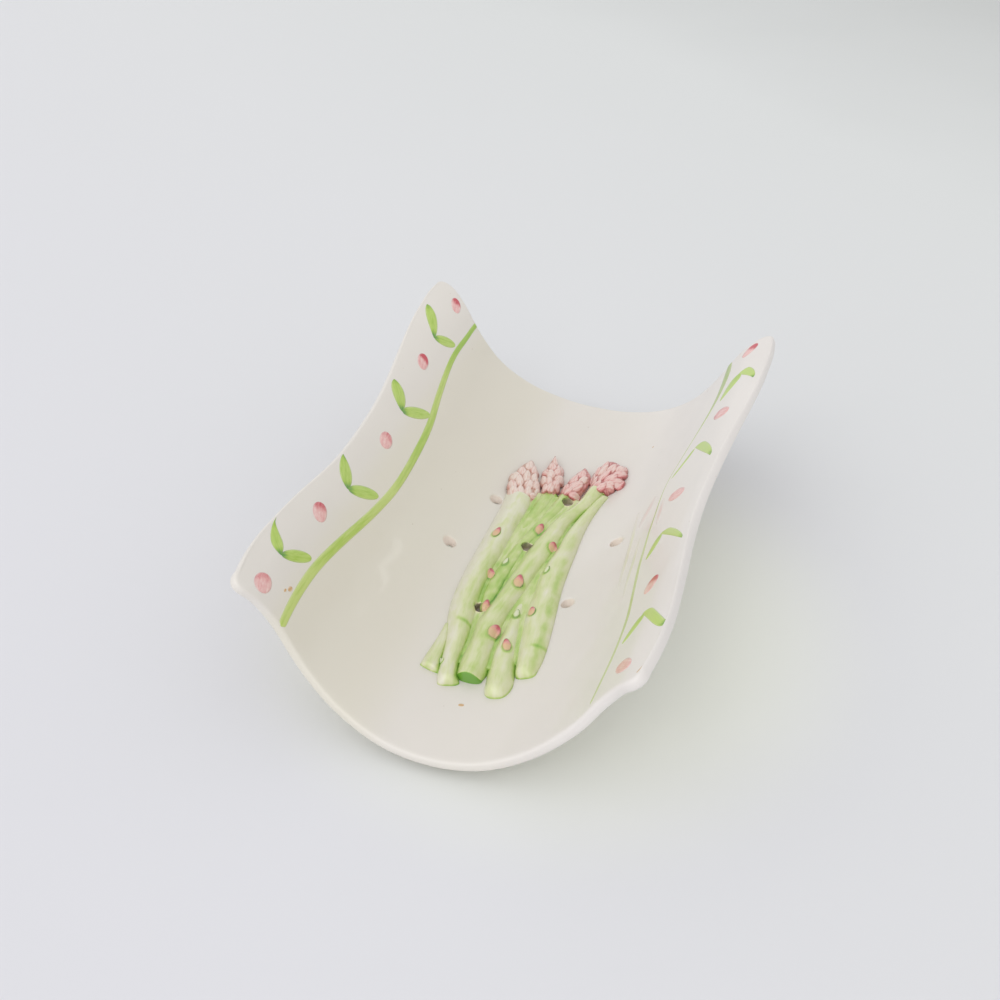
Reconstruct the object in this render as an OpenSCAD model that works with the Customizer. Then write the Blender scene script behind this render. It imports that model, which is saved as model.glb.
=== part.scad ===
// Glazed ceramic asparagus plate: a bent trough with drawn-up corners,
// a moulded bundle of asparagus over drain holes, and painted walls.
// Millimetres. +Y runs along the trough, +X to its right wall, +Z is up.
// Z is zero under the feet.

/* [Trough] */
// Length of the sheet, between the lines that the end curves start from
sheet_length = 305; // [275:5:335]
// How far each end bows out in its middle
end_bow = 6; // [3:1:12]
// How deep each end is cut in between its middle and its corners
end_scoop = 48; // [20:1:55]
// How far the right wall sits towards the far end
end_skew = 1; // [0:0.5:4]
// Arc from the floor's centre line to the rim at mid length
side_arc = 126; // [122:1:134]
// How much longer that arc is at the corners
corner_rise = 14; // [6:1:18]
// How much the rim swells between mid length and the corners
shoulder_rise = 27; // [15:1:34]
// How much longer the far arcs are than the middle, and the near ones shorter
far_rise = 5; // [0:1:8]
// Thickness of the clay
wall_thickness = 6; // [5:0.5:8]
// Half width of the flat strip along the floor
floor_flat = 3; // [2:0.5:8]
// Inside radius of the bend from floor to wall
bend_radius = 82; // [74:1:90]
// Lean of the walls, in degrees from level
wall_lean = 58; // [52:1:62]
// How much steeper the walls are at the ends than in the middle, in degrees
lean_gain = 7; // [0:1:10]
// How far below the rim, at mid length, the walls start to flare
flare_depth = 8; // [5:0.5:10]
// Radius of the flare
flare_radius = 45; // [40:1:60]
// Radius of the corner points
corner_radius = 13; // [8:0.5:16]

/* [Drain holes] */
// Diameter of a drain hole
drain_diameter = 7; // [6:0.5:8]

/* [Feet] */
// Diameter of a foot
foot_diameter = 18; // [12:1:24]
// Room under the middle of the floor
foot_drop = 5; // [3:0.5:8]
// Bevel round the foot's tread
foot_bevel = 1; // [0.5:0.1:1.5]

/* [Asparagus] */
// Length of the bundle from butts to tips
bundle_length = 214; // [190:1:230]
// Width of the bundle
bundle_width = 80; // [70:1:90]
// How far the bundle's middle sits towards the near end
bundle_back = 8.5; // [4:0.5:14]
// How far the bundle's middle sits to the right
bundle_right = 3.5; // [0:0.5:6]
// Height of a spear's round back above its edges
spear_crown = 5.5; // [4:0.5:7]
// Width of a spear that has its full height
spear_width = 13; // [10:0.5:15]
// Height of a spear's edges
spear_edge = 0.8; // [0.5:0.1:1.2]
// Height of a tip's back
tip_crown = 6.5; // [5:0.5:8]
// How far the scales of a tip stand out
scale_lift = 1; // [0.4:0.1:1.4]
// Length of a bract
bract_length = 9; // [7:0.5:10.5]
// Width of a bract
bract_width = 5; // [4:0.5:6]
// Height of a bract
bract_height = 0.9; // [0.6:0.1:1.4]

/* [Painting] */
// Thickness of the raised enamel
paint_height = 0.4; // [0.3:0.05:0.6]
// Width of the left stem at the near end
left_stem_width = 6.2; // [4:0.2:7]
// Width of the left stem at the far end
left_stem_tip = 3.4; // [2.5:0.1:4]
// Width of the right stem
right_stem_width = 2.6; // [1.8:0.1:3.5]
// Width of a left leaf
left_leaf_width = 6.5; // [5:0.5:8]
// Width of a right leaf
right_leaf_width = 7; // [5:0.5:8]
// Length of a left bud
left_bud_length = 12.5; // [10:0.5:15]
// Width of a left bud
left_bud_width = 9.5; // [7:0.5:11]
// Length of a right bud
right_bud_length = 15.5; // [12:0.5:17]
// Width of a right bud
right_bud_width = 9; // [7:0.5:10]

/* [Hidden] */
// Room between a piece and what it sits on
seat_gap = 0.15;
// Room between neighbouring spears
spear_gap = 0.3;
// How far a bract's rim may hang below the spear under its middle
bract_sag = 1;
// Steps of the sheet's mesh
corner_steps = 4;
across_steps = 34;
along_steps = 28;
lip_steps = 4;
// Steps of the small pieces' meshes
spear_rows = 14;
spear_columns = 8;
tip_rows = 14;
tip_columns = 12;
stem_rows = 28;
leaf_rows = 6;
round_sides = 48;

floor_top = foot_drop + wall_thickness;
flare_start = side_arc - flare_depth;
corner_arc = side_arc + corner_rise;
middle_length = sheet_length/2 + end_bow;
arc_degree = 180/PI;

// Drain holes: across share of the half arc, along share of the half length
drain_shares = [
  [-0.25, 0.24], [-0.35, -0.10], [0.08, 0.315], [0, 0.01],
  [-0.065, -0.35], [0.43, 0.065], [0.303, -0.265]
];
// Feet: shares as above
foot_across_share = 0.24;
foot_along_share = 0.6;

// Spears: along share of the half bundle, then its left and right edges as
// shares of the half width. The shares run from the butt to the tip.
left_spear_shares = [
  [-0.99, -0.36, -0.19], [-0.91, -0.43, -0.20], [-0.84, -0.48, -0.25],
  [-0.70, -0.55, -0.25], [-0.55, -0.66, -0.30], [-0.46, -0.70, -0.34],
  [-0.36, -0.73, -0.38], [-0.20, -0.73, -0.39], [0.03, -0.72, -0.37],
  [0.25, -0.73, -0.36], [0.45, -0.75, -0.33]
];
second_spear_shares = [
  [-0.06, -0.37, -0.34], [0.01, -0.37, -0.32], [0.16, -0.36, -0.27],
  [0.31, -0.35, -0.16], [0.46, -0.33, -0.08], [0.57, -0.31, -0.03]
];
third_spear_shares = [
  [-0.39, -0.36, -0.21], [-0.22, -0.39, -0.18],
  [-0.05, -0.34, -0.13], [0.13, -0.28, -0.08], [0.28, -0.18, 0.04],
  [0.40, -0.12, 0.10], [0.50, -0.06, 0.12], [0.58, -0.03, 0.12]
];
crossing_spear_shares = [
  [-0.93, -0.17, 0.20], [-0.84, -0.24, 0.18], [-0.69, -0.24, 0.13],
  [-0.54, -0.26, 0.14], [-0.38, -0.20, 0.15], [-0.22, -0.18, 0.24],
  [-0.05, -0.13, 0.30], [0.13, -0.08, 0.34], [0.28, 0.04, 0.38],
  [0.39, 0.16, 0.43], [0.52, 0.33, 0.58], [0.65, 0.40, 0.70]
];
right_spear_shares = [
  [-0.88, 0.62, 0.86], [-0.77, 0.54, 0.88], [-0.66, 0.48, 0.89],
  [-0.55, 0.42, 0.87], [-0.40, 0.31, 0.80], [-0.30, 0.31, 0.75],
  [-0.16, 0.34, 0.67], [-0.03, 0.33, 0.64], [0.13, 0.35, 0.62],
  [0.28, 0.39, 0.62], [0.40, 0.45, 0.62], [0.52, 0.59, 0.66]
];
front_spear_shares = [
  [-1.00, 0.40, 0.50], [-0.98, 0.33, 0.60], [-0.94, 0.27, 0.63],
  [-0.86, 0.21, 0.61], [-0.69, 0.14, 0.49], [-0.54, 0.15, 0.41],
  [-0.40, 0.16, 0.30], [-0.30, 0.20, 0.30], [-0.20, 0.26, 0.32]
];
stub_spear_shares = [
  [-0.92, -0.70, -0.44], [-0.82, -0.67, -0.50], [-0.70, -0.65, -0.56],
  [-0.62, -0.66, -0.63]
];
// How high each spear lies, as a share of the crown
spear_height_shares = [1.15, 0.8, 0.9, 1.25, 1, 1, 0.8];
spear_tables = [
  left_spear_shares, second_spear_shares, third_spear_shares,
  crossing_spear_shares, right_spear_shares, front_spear_shares,
  stub_spear_shares
];

// Tips: along share, left edge and right edge, as for the spears
left_tip_shares = [
  [0.46, -0.74, -0.36], [0.53, -0.84, -0.34], [0.62, -0.87, -0.34],
  [0.72, -0.85, -0.46], [0.79, -0.80, -0.54], [0.84, -0.74, -0.64]
];
second_tip_shares = [
  [0.59, -0.30, -0.07], [0.66, -0.36, -0.05], [0.74, -0.44, -0.05],
  [0.82, -0.43, -0.12], [0.89, -0.41, -0.25], [0.95, -0.39, -0.35]
];
third_tip_shares = [
  [0.60, 0.02, 0.30], [0.67, -0.02, 0.35], [0.74, 0.01, 0.38],
  [0.80, 0.05, 0.36], [0.85, 0.09, 0.33], [0.89, 0.16, 0.24]
];
right_tip_shares = [
  [0.67, 0.42, 0.76], [0.73, 0.41, 0.87], [0.80, 0.39, 0.93],
  [0.88, 0.37, 0.93], [0.94, 0.40, 0.84], [0.98, 0.46, 0.72]
];
// Scales along and across one tip
tip_scale_rows = 4;
tip_scale_columns = 2;

// Bracts: along share and across share of the half bundle, and turn to the
// right in degrees
pink_bract_shares = [
  [0.11, -0.62, 34], [0.26, -0.03, 30], [0.12, 0.31, 30], [-0.18, -0.42, 14],
  [-0.22, 0.07, -6], [-0.42, -0.26, 24], [-0.43, 0.47, 12], [-0.6, 0.07, 30],
  [-0.69, 0.34, 8]
];
green_bract_shares = [
  [-0.07, -0.28, 20], [-0.07, 0.41, 20], [-0.44, 0.24, 12], [-0.84, -0.37, 0]
];

// Stems: along share, across share
left_stem_shares = [
  [-0.98, -0.724], [-0.73, -0.744], [-0.52, -0.737], [-0.30, -0.722],
  [-0.12, -0.711], [0.11, -0.716], [0.32, -0.724], [0.50, -0.745],
  [0.75, -0.76], [0.98, -0.769]
];
right_stem_shares = [
  [-0.98, 0.706], [-0.89, 0.715], [-0.72, 0.733], [-0.60, 0.73],
  [-0.19, 0.69], [0.04, 0.662], [0.20, 0.64], [0.34, 0.632],
  [0.55, 0.70], [0.745, 0.755], [0.98, 0.79]
];
// Leaves: base across and along, then point across and along
left_leaf_shares = [
  [-0.90, 0.69, -0.982, 0.82], [-0.883, 0.683, -0.79, 0.78],
  [-0.895, 0.225, -0.978, 0.30], [-0.878, 0.217, -0.768, 0.34],
  [-0.885, -0.313, -0.982, -0.23], [-0.866, -0.322, -0.765, -0.225],
  [-0.893, -0.79, -0.982, -0.725], [-0.874, -0.797, -0.79, -0.71]
];
right_leaf_shares = [
  [0.81, 0.70, 0.868, 0.775], [0.893, 0.805, 0.965, 0.725],
  [0.672, 0.335, 0.745, 0.415], [0.778, 0.44, 0.94, 0.265],
  [0.735, -0.235, 0.778, -0.15], [0.808, -0.115, 0.955, -0.25],
  [0.775, -0.75, 0.838, -0.685], [0.872, -0.655, 0.97, -0.785]
];
// Buds: across and along share of the middle
left_bud_shares = [[-0.896, 0.935], [-0.895, 0.522], [-0.885, 0.025], [-0.89, -0.517], [-0.885, -0.925]];
right_bud_shares = [[0.905, 0.935], [0.869, 0.57], [0.786, 0.134], [0.844, -0.467], [0.863, -0.913]];
// Turn of the buds on the sheet, from straight across it
left_bud_turn = 110;
right_bud_turn = 125;

// Arc from the floor's centre line to the rim, by along share
function half_arc(v) = side_arc + corner_rise*v*v + shoulder_rise*v*v*(1 - v*v) + far_rise*v;

// Lean of the wall, by along share
function lean(v) = wall_lean + lean_gain*(v*v - 1/2);

// How much the corner's round takes off the end, by across share
function corner_cut(u) =
  let (inset = (1 - abs(u))*corner_arc)
  inset < corner_radius
    ? corner_radius - sqrt(corner_radius*corner_radius - (corner_radius - inset)*(corner_radius - inset))
    : 0;

// Half length of the sheet, by across share
function half_length(u) =
  sheet_length/2 + end_bow*(1 - u*u) - end_scoop*(1 - u*u)*u*u - corner_cut(u);

// Across place, height and lean of the inner face, by arc from the centre
function profile(arc, tilt) =
  let (turn = min(max(arc - floor_flat, 0)/bend_radius*arc_degree, tilt))
  let (bend_end = floor_flat + bend_radius*tilt/arc_degree)
  let (straight = max(min(arc, flare_start) - bend_end, 0))
  let (flare = max(arc - flare_start, 0)/flare_radius*arc_degree)
  [
    min(arc, floor_flat) + bend_radius*sin(turn) + straight*cos(tilt)
      + flare_radius*(sin(tilt) - sin(tilt - flare)),
    bend_radius*(1 - cos(turn)) + straight*sin(tilt)
      + flare_radius*(cos(tilt - flare) - cos(tilt)),
    turn - flare
  ];

// Point on the inner face at across share u and along share v, raised by lift
function place(u, v, lift) =
  let (side = u < 0 ? -1 : 1)
  let (at = profile(abs(u)*half_arc(v), lean(v)))
  [side*(at[0] - lift*sin(at[2])), v*half_length(u) + end_skew*u, floor_top + at[1] + lift*cos(at[2])];

// Way out of the sheet across it
function outward(u, v) =
  let (side = u < 0 ? -1 : 1)
  let (at = profile(abs(u)*half_arc(v), lean(v)))
  [side*cos(at[2]), 0, sin(at[2])];

// Along share of the sheet at along share b of the bundle
function bundle_v(b) = (b*bundle_length/2 - bundle_back)/middle_length;

// Point over the floor at along share b and across share a of the bundle
function bundle_place(b, a, lift) =
  let (v = bundle_v(b))
  place((a*bundle_width/2 + bundle_right)/half_arc(v), v, lift);

// One column of a table, against its first
function column(table, k) = [for (row = table) [row[0], row[k]]];

// Faces of a closed solid whose points are a top layer and a bottom layer,
// each row by row
function sheet_faces(rows, columns) =
  let (stride = columns + 1)
  let (layer = (rows + 1)*stride)
  concat(
    [for (i = [0:rows - 1], j = [0:columns - 1])
      let (p = i*stride + j) each [[p, p + stride + 1, p + 1], [p, p + stride, p + stride + 1]]],
    [for (i = [0:rows - 1], j = [0:columns - 1])
      let (p = layer + i*stride + j) each [[p, p + 1, p + stride + 1], [p, p + stride + 1, p + stride]]],
    [for (j = [0:columns - 1])
      let (p = j, q = layer + j) each [[p, p + 1, q + 1], [p, q + 1, q]]],
    [for (j = [0:columns - 1])
      let (p = rows*stride + j, q = layer + rows*stride + j) each [[p, q + 1, p + 1], [p, q, q + 1]]],
    [for (i = [0:rows - 1])
      let (p = i*stride, q = layer + i*stride) each [[p, q + stride, p + stride], [p, q, q + stride]]],
    [for (i = [0:rows - 1])
      let (p = i*stride + columns, q = layer + i*stride + columns)
      each [[p, p + stride, q + stride], [p, q + stride, q]]]
  );

// Across shares of the sheet's mesh, with the corner's round at both sides
column_shares = concat(
  [for (k = [0:corner_steps - 1]) -1 + corner_radius/corner_arc*(1 - cos(90*k/corner_steps))],
  [for (i = [0:across_steps]) (2*i/across_steps - 1)*(1 - corner_radius/corner_arc)],
  [for (k = [corner_steps - 1:-1:0]) 1 - corner_radius/corner_arc*(1 - cos(90*k/corner_steps))]
);
column_count = across_steps + 2*corner_steps;
row_stride = column_count + 1;
layer_size = (along_steps + 1)*row_stride;
edge_count = 2*(column_count + along_steps);

// Row and column of the k-th point round the sheet's edge
function edge_cell(k) =
  k < column_count ? [0, k]
  : k < column_count + along_steps ? [k - column_count, column_count]
  : k < 2*column_count + along_steps ? [along_steps, 2*column_count + along_steps - k]
  : [edge_count - k, 0];

// How far the way out turns from across the sheet to along it, at a cell
function edge_turn(cell) =
  let (inset = (1 - abs(column_shares[cell[1]]))*corner_arc)
  cell[0] > 0 && cell[0] < along_steps ? 0
  : inset > corner_radius ? 90
  : acos((corner_radius - inset)/corner_radius);

// Point of the rounded lip, turned from the inner face to the outer one
function lip_point(k, turn) =
  let (cell = edge_cell(k))
  let (u = column_shares[cell[1]], v = 2*cell[0]/along_steps - 1)
  let (end = v < 0 ? -1 : 1, bend = edge_turn(cell))
  place(u, v, -wall_thickness/2*(1 - cos(turn)))
    + wall_thickness/2*sin(turn)*(cos(bend)*outward(u, v) + sin(bend)*[0, end, 0]);

// Index of the point on ring r at place k round the edge
function lip_index(r, k) =
  let (m = k%edge_count, cell = edge_cell(m))
  r == 0 ? cell[0]*row_stride + cell[1]
  : r == lip_steps ? layer_size + cell[0]*row_stride + cell[1]
  : 2*layer_size + (r - 1)*edge_count + m;

// The bent sheet with its rounded lip, before the holes
module sheet() {
  layers = [for (lift = [0, -wall_thickness], i = [0:along_steps], u = column_shares)
    place(u, 2*i/along_steps - 1, lift)];
  lips = [for (r = [1:lip_steps - 1], k = [0:edge_count - 1]) lip_point(k, 180*r/lip_steps)];
  inner = [for (i = [0:along_steps - 1], j = [0:column_count - 1])
    let (p = i*row_stride + j) each [[p, p + row_stride + 1, p + 1], [p, p + row_stride, p + row_stride + 1]]];
  outer = [for (i = [0:along_steps - 1], j = [0:column_count - 1])
    let (p = layer_size + i*row_stride + j)
    each [[p, p + 1, p + row_stride + 1], [p, p + row_stride + 1, p + row_stride]]];
  rim = [for (r = [0:lip_steps - 1], k = [0:edge_count - 1])
    each [
      [lip_index(r, k), lip_index(r, k + 1), lip_index(r + 1, k + 1)],
      [lip_index(r, k), lip_index(r + 1, k + 1), lip_index(r + 1, k)]
    ]];
  polyhedron(points = concat(layers, lips), faces = concat(inner, outer, rim), convexity = 6);
}

// Straight bores through the floor
module drains() {
  for (share = drain_shares) {
    at = place(share[0], share[1], 0);
    translate([at[0], at[1], at[2] - wall_thickness - spear_crown])
      cylinder(h = 2*(wall_thickness + spear_crown) + tip_crown, d = drain_diameter, $fn = round_sides);
  }
}

module dish() {
  color("#dedad2")
    difference() {
      sheet();
      drains();
    }
}

// One round foot under the bend, cut to the dish's outer face
module foot(side, end) {
  at = place(side*foot_across_share, end*foot_along_share, 0);
  color("#dedad2")
    difference() {
      translate([at[0], at[1], 0]) {
        cylinder(h = foot_bevel, d1 = foot_diameter - 2*foot_bevel, d2 = foot_diameter, $fn = round_sides);
        translate([0, 0, foot_bevel])
          cylinder(h = floor_top + wall_thickness - foot_bevel, d = foot_diameter, $fn = round_sides);
      }
      translate([side*floor_flat, at[1] - foot_diameter, floor_top + bend_radius])
        rotate([-90, 0, 0])
          cylinder(h = 2*foot_diameter, r = bend_radius + wall_thickness + seat_gap, $fn = 2*round_sides);
    }
}

module foot_near_left() {
  foot(-1, -1);
}

module foot_near_right() {
  foot(1, -1);
}

module foot_far_left() {
  foot(-1, 1);
}

module foot_far_right() {
  foot(1, 1);
}

// Height of spear k over the floor, at along share b and across share a
function spear_top(k, b, a) =
  let (table = spear_tables[k])
  let (low = lookup(b, column(table, 1)), high = lookup(b, column(table, 2)))
  let (width = (high - low)*bundle_width/2)
  let (x = (2*a - low - high)/(high - low))
  let (rise = spear_crown*spear_height_shares[k]*min(width/spear_width, 1))
  seat_gap + spear_edge + rise*sqrt(max(1 - x*x, 0));

// Highest spear under a point
function bed(b, a) = max([for (k = [0:len(spear_tables) - 1])
  let (table = spear_tables[k])
  b >= table[0][0] && b <= table[len(table) - 1][0] ? spear_top(k, b, a) : seat_gap]);

module spear(k) {
  table = spear_tables[k];
  start = table[0][0];
  reach = table[len(table) - 1][0] - start;
  left_edge = column(table, 1);
  right_edge = column(table, 2);
  inset = spear_gap/bundle_width;
  points = [for (layer = [0, 1], i = [0:spear_rows], j = [0:spear_columns])
    let (b = start + reach*i/spear_rows)
    let (low = lookup(b, left_edge) + inset, high = lookup(b, right_edge) - inset)
    let (a = (low + high)/2 - (high - low)/2*cos(180*j/spear_columns))
    bundle_place(b, a, layer == 0 ? spear_top(k, b, a) : seat_gap)];
  color("#b9cf6a")
    difference() {
      polyhedron(points = points, faces = sheet_faces(spear_rows, spear_columns), convexity = 4);
      drains();
    }
}

module left_spear() {
  spear(0);
}

module second_spear() {
  spear(1);
}

module third_spear() {
  spear(2);
}

module crossing_spear() {
  spear(3);
}

module right_spear() {
  spear(4);
}

module front_spear() {
  spear(5);
}

module stub_spear() {
  spear(6);
}

// Overlapping scales: each row rises towards its points, and the next row
// starts low and half a scale to the side
function scales(t, x) =
  let (row = floor(t*tip_scale_rows), within = t*tip_scale_rows - row)
  let (wave = cos(180*(x*tip_scale_columns + row)))
  scale_lift*(0.5 + 0.5*wave)*(1 - within);

module tip(table) {
  start = table[0][0];
  reach = table[len(table) - 1][0] - start;
  left_edge = column(table, 1);
  right_edge = column(table, 2);
  inset = spear_gap/bundle_width;
  points = [for (layer = [0, 1], i = [0:tip_rows], j = [0:tip_columns])
    let (t = i/tip_rows, b = start + reach*t)
    let (low = lookup(b, left_edge) + inset, high = lookup(b, right_edge) - inset)
    let (x = -cos(180*j/tip_columns), a = (low + high)/2 + (high - low)/2*x)
    let (round_off = sqrt(max(1 - x*x, 0))*(0.6 + 0.4*cos(90*t)))
    bundle_place(b, a, layer == 1 ? seat_gap
      : seat_gap + spear_edge + (tip_crown - scale_lift)*round_off + scales(min(t, 0.999), x)*sqrt(max(1 - x*x, 0)))];
  color("#d98a84")
    difference() {
      polyhedron(points = points, faces = sheet_faces(tip_rows, tip_columns), convexity = 6);
      drains();
    }
}

module left_tip() {
  tip(left_tip_shares);
}

module second_tip() {
  tip(second_tip_shares);
}

module third_tip() {
  tip(third_tip_shares);
}

module right_tip() {
  tip(right_tip_shares);
}

// A pointed oval scale lying on the spears
module bract(share) {
  rows = 6;
  columns = 4;
  lowest = bed(share[0], share[1]) - bract_sag;
  points = [for (layer = [0, 1], i = [0:rows], j = [0:columns])
    let (t = 2*i/rows - 1, x = 2*j/columns - 1)
    let (half = bract_width/2*(0.12 + 0.88*cos(80*t)))
    let (along = t*bract_length/2, across = x*half)
    let (b = share[0] + (along*cos(share[2]) - across*sin(share[2]))*2/bundle_length)
    let (a = share[1] + (across*cos(share[2]) + along*sin(share[2]))*2/bundle_width)
    bundle_place(b, a, max(bed(b, a), lowest) + 2*seat_gap
      + (layer == 1 ? 0 : bract_height*(0.3 + 0.7*(1 - x*x)*cos(80*t))))];
  polyhedron(points = points, faces = sheet_faces(rows, columns), convexity = 4);
}

module pink_bracts() {
  color("#e0a098")
    for (share = pink_bract_shares)
      bract(share);
}

module green_bracts() {
  color("#cfdca0")
    for (share = green_bract_shares)
      bract(share);
}

// A painted line along a wall
module stem(table, near_width, far_width) {
  start = table[0][0];
  reach = table[len(table) - 1][0] - start;
  columns = 2;
  points = [for (layer = [0, 1], i = [0:stem_rows], j = [0:columns])
    let (v = start + reach*i/stem_rows, x = 2*j/columns - 1)
    let (width = near_width + (far_width - near_width)*i/stem_rows)
    let (u = lookup(v, table) + x*width/2/half_arc(v))
    place(u, v, seat_gap + (layer == 1 ? 0 : paint_height*(1 - 0.5*x*x)))];
  polyhedron(points = points, faces = sheet_faces(stem_rows, columns), convexity = 4);
}

// A painted pointed oval about a middle, with its long way given in
// millimetres across and along the sheet
module stroke(mid_u, mid_v, across, along, width) {
  columns = 2;
  long = sqrt(across*across + along*along);
  side = [-along/long, across/long];
  points = [for (layer = [0, 1], i = [0:leaf_rows], j = [0:columns])
    let (t = 2*i/leaf_rows - 1, x = 2*j/columns - 1)
    let (half = width/2*(0.12 + 0.88*sqrt(1 - t*t)))
    let (v = mid_v + (t*along/2 - x*half*side[1])/middle_length)
    let (u = mid_u + (t*across/2 - x*half*side[0])/half_arc(v))
    place(u, v, seat_gap + (layer == 1 ? 0 : paint_height*(1 - 0.5*x*x)))];
  polyhedron(points = points, faces = sheet_faces(leaf_rows, columns), convexity = 4);
}

module leaves(table, width) {
  for (leaf = table) {
    mid_v = (leaf[1] + leaf[3])/2;
    stroke((leaf[0] + leaf[2])/2, mid_v, (leaf[2] - leaf[0])*half_arc(mid_v),
      (leaf[3] - leaf[1])*middle_length, width);
  }
}

module buds(table, length, width, turn) {
  for (bud = table)
    stroke(bud[0], bud[1], length*cos(turn), length*sin(turn), width);
}

module left_stem() {
  color("#8fae3c")
    stem(left_stem_shares, left_stem_width, left_stem_tip);
}

module right_stem() {
  color("#8fae3c")
    stem(right_stem_shares, right_stem_width, right_stem_width);
}

module left_leaves() {
  color("#6f9436")
    leaves(left_leaf_shares, left_leaf_width);
}

module right_leaves() {
  color("#6f9436")
    leaves(right_leaf_shares, right_leaf_width);
}

module left_buds() {
  color("#d9867f")
    buds(left_bud_shares, left_bud_length, left_bud_width, left_bud_turn);
}

module right_buds() {
  color("#d9867f")
    buds(right_bud_shares, right_bud_length, right_bud_width, right_bud_turn);
}

dish();
foot_near_left();
foot_near_right();
foot_far_left();
foot_far_right();
left_spear();
second_spear();
third_spear();
crossing_spear();
right_spear();
front_spear();
stub_spear();
left_tip();
second_tip();
third_tip();
right_tip();
pink_bracts();
green_bracts();
left_stem();
right_stem();
left_leaves();
right_leaves();
left_buds();
right_buds();
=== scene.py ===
"""Looks of a glazed ceramic asparagus plate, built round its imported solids.

Metres, in the frame of the solids: +Y runs along the trough, +X to its right wall, +Z is up,
and Z is zero under the feet. A place on the sheet is given by two shares: u across it, from -1 at
the left rim to 1 at the right, and v along it, from -1 at the near end to 1 at the far one. A
place in the moulded bundle is given in the same way, by a across it and b along it.
"""
import math

import bpy
import numpy as np
from mathutils import Matrix, Vector


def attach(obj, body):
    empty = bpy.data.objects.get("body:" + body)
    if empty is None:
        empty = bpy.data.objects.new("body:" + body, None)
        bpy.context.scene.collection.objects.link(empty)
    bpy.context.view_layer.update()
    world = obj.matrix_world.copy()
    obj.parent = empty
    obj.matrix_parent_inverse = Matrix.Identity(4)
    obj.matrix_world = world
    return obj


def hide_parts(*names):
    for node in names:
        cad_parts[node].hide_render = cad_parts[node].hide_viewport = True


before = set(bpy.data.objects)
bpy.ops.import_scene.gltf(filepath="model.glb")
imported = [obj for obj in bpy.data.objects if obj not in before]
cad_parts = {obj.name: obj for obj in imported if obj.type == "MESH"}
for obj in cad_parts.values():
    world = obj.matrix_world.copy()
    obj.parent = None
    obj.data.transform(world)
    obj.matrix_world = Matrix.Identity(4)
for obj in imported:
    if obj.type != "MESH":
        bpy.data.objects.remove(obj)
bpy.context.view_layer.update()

MM = 0.001

# The trough's sheet: its length along the rims, how far the middle of each end bows out, four
# times how deep the ends are scooped in beside it, and how much further along the right rim lies
SHEET_LENGTH = 305*MM
END_BOW = 6*MM
END_SCOOP = 48*MM
END_SKEW = 1*MM
# How much further out the middle of the far end lies than the near one
FAR_BULGE = 4.2*MM
# How much further the left rim stands out in its far half, and how much less at its near end
LEFT_FAR_REACH = 1.8*MM
LEFT_NEAR_DRAW = 1.3*MM
# How far the two far corners are drawn out
CORNER_DRAW = 2.0*MM
# Arc from the centre line to the rim, how much longer it is at the corners, four times how much
# it gains at the shoulders on the way there, and how much longer it is at the far end
SIDE_ARC = 126*MM
CORNER_RISE = 14*MM
SHOULDER_RISE = 27*MM
FAR_RISE = 5*MM
WALL_THICKNESS = 6*MM
# The wall's profile: half the flat strip, the bend, the lean, how much more the corners lean, and
# the outward flare under the rim
FLOOR_FLAT = 3*MM
BEND_RADIUS = 82*MM
WALL_LEAN = math.radians(58)
LEAN_GAIN = math.radians(7)
FLARE_DEPTH = 8*MM
FLARE_RADIUS = 45*MM
CORNER_RADIUS = 10.5*MM
# How far the lip stands out beyond the sheet's ends and its sides, and how square it is
LIP_REACH = 2.8*MM
LIP_SIDE_REACH = 1.3*MM
LIP_POWER = 2.8
DRAIN_RADIUS = 3.5*MM
# Feet: where they stand across and along the sheet, their radius, and how far they hold the
# dish off the table
FOOT_ACROSS_SHARE = 0.24
FOOT_ALONG_SHARE = 0.6
FOOT_RADIUS = 9*MM
FOOT_DROP = 5*MM
FLOOR_TOP = FOOT_DROP + WALL_THICKNESS
FLARE_START = SIDE_ARC - FLARE_DEPTH
CORNER_ARC = SIDE_ARC + CORNER_RISE
MIDDLE_LENGTH = SHEET_LENGTH/2 + END_BOW

# The moulded bundle, and how far its middle lies towards the near end and the right
BUNDLE_LENGTH = 214*MM
BUNDLE_WIDTH = 80*MM
BUNDLE_BACK = 8.5*MM
BUNDLE_RIGHT = 3.5*MM
# A spear's height over its edges where it is full width, that width, and its edges' height
SPEAR_CROWN = 5.5*MM
SPEAR_WIDTH = 13*MM
SPEAR_EDGE = 0.8*MM
# How square a spear's section is, and how full its flanks are
SPEAR_POWER = 2.2
SPEAR_FULLNESS = 0.85
TIP_CROWN = 5.2*MM

# Drain holes: across share, along share
DRAINS = np.array([
    [-0.25, 0.24], [-0.35, -0.10], [0.08, 0.315], [0, 0.01],
    [-0.065, -0.35], [0.43, 0.065], [0.303, -0.265],
])

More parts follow.
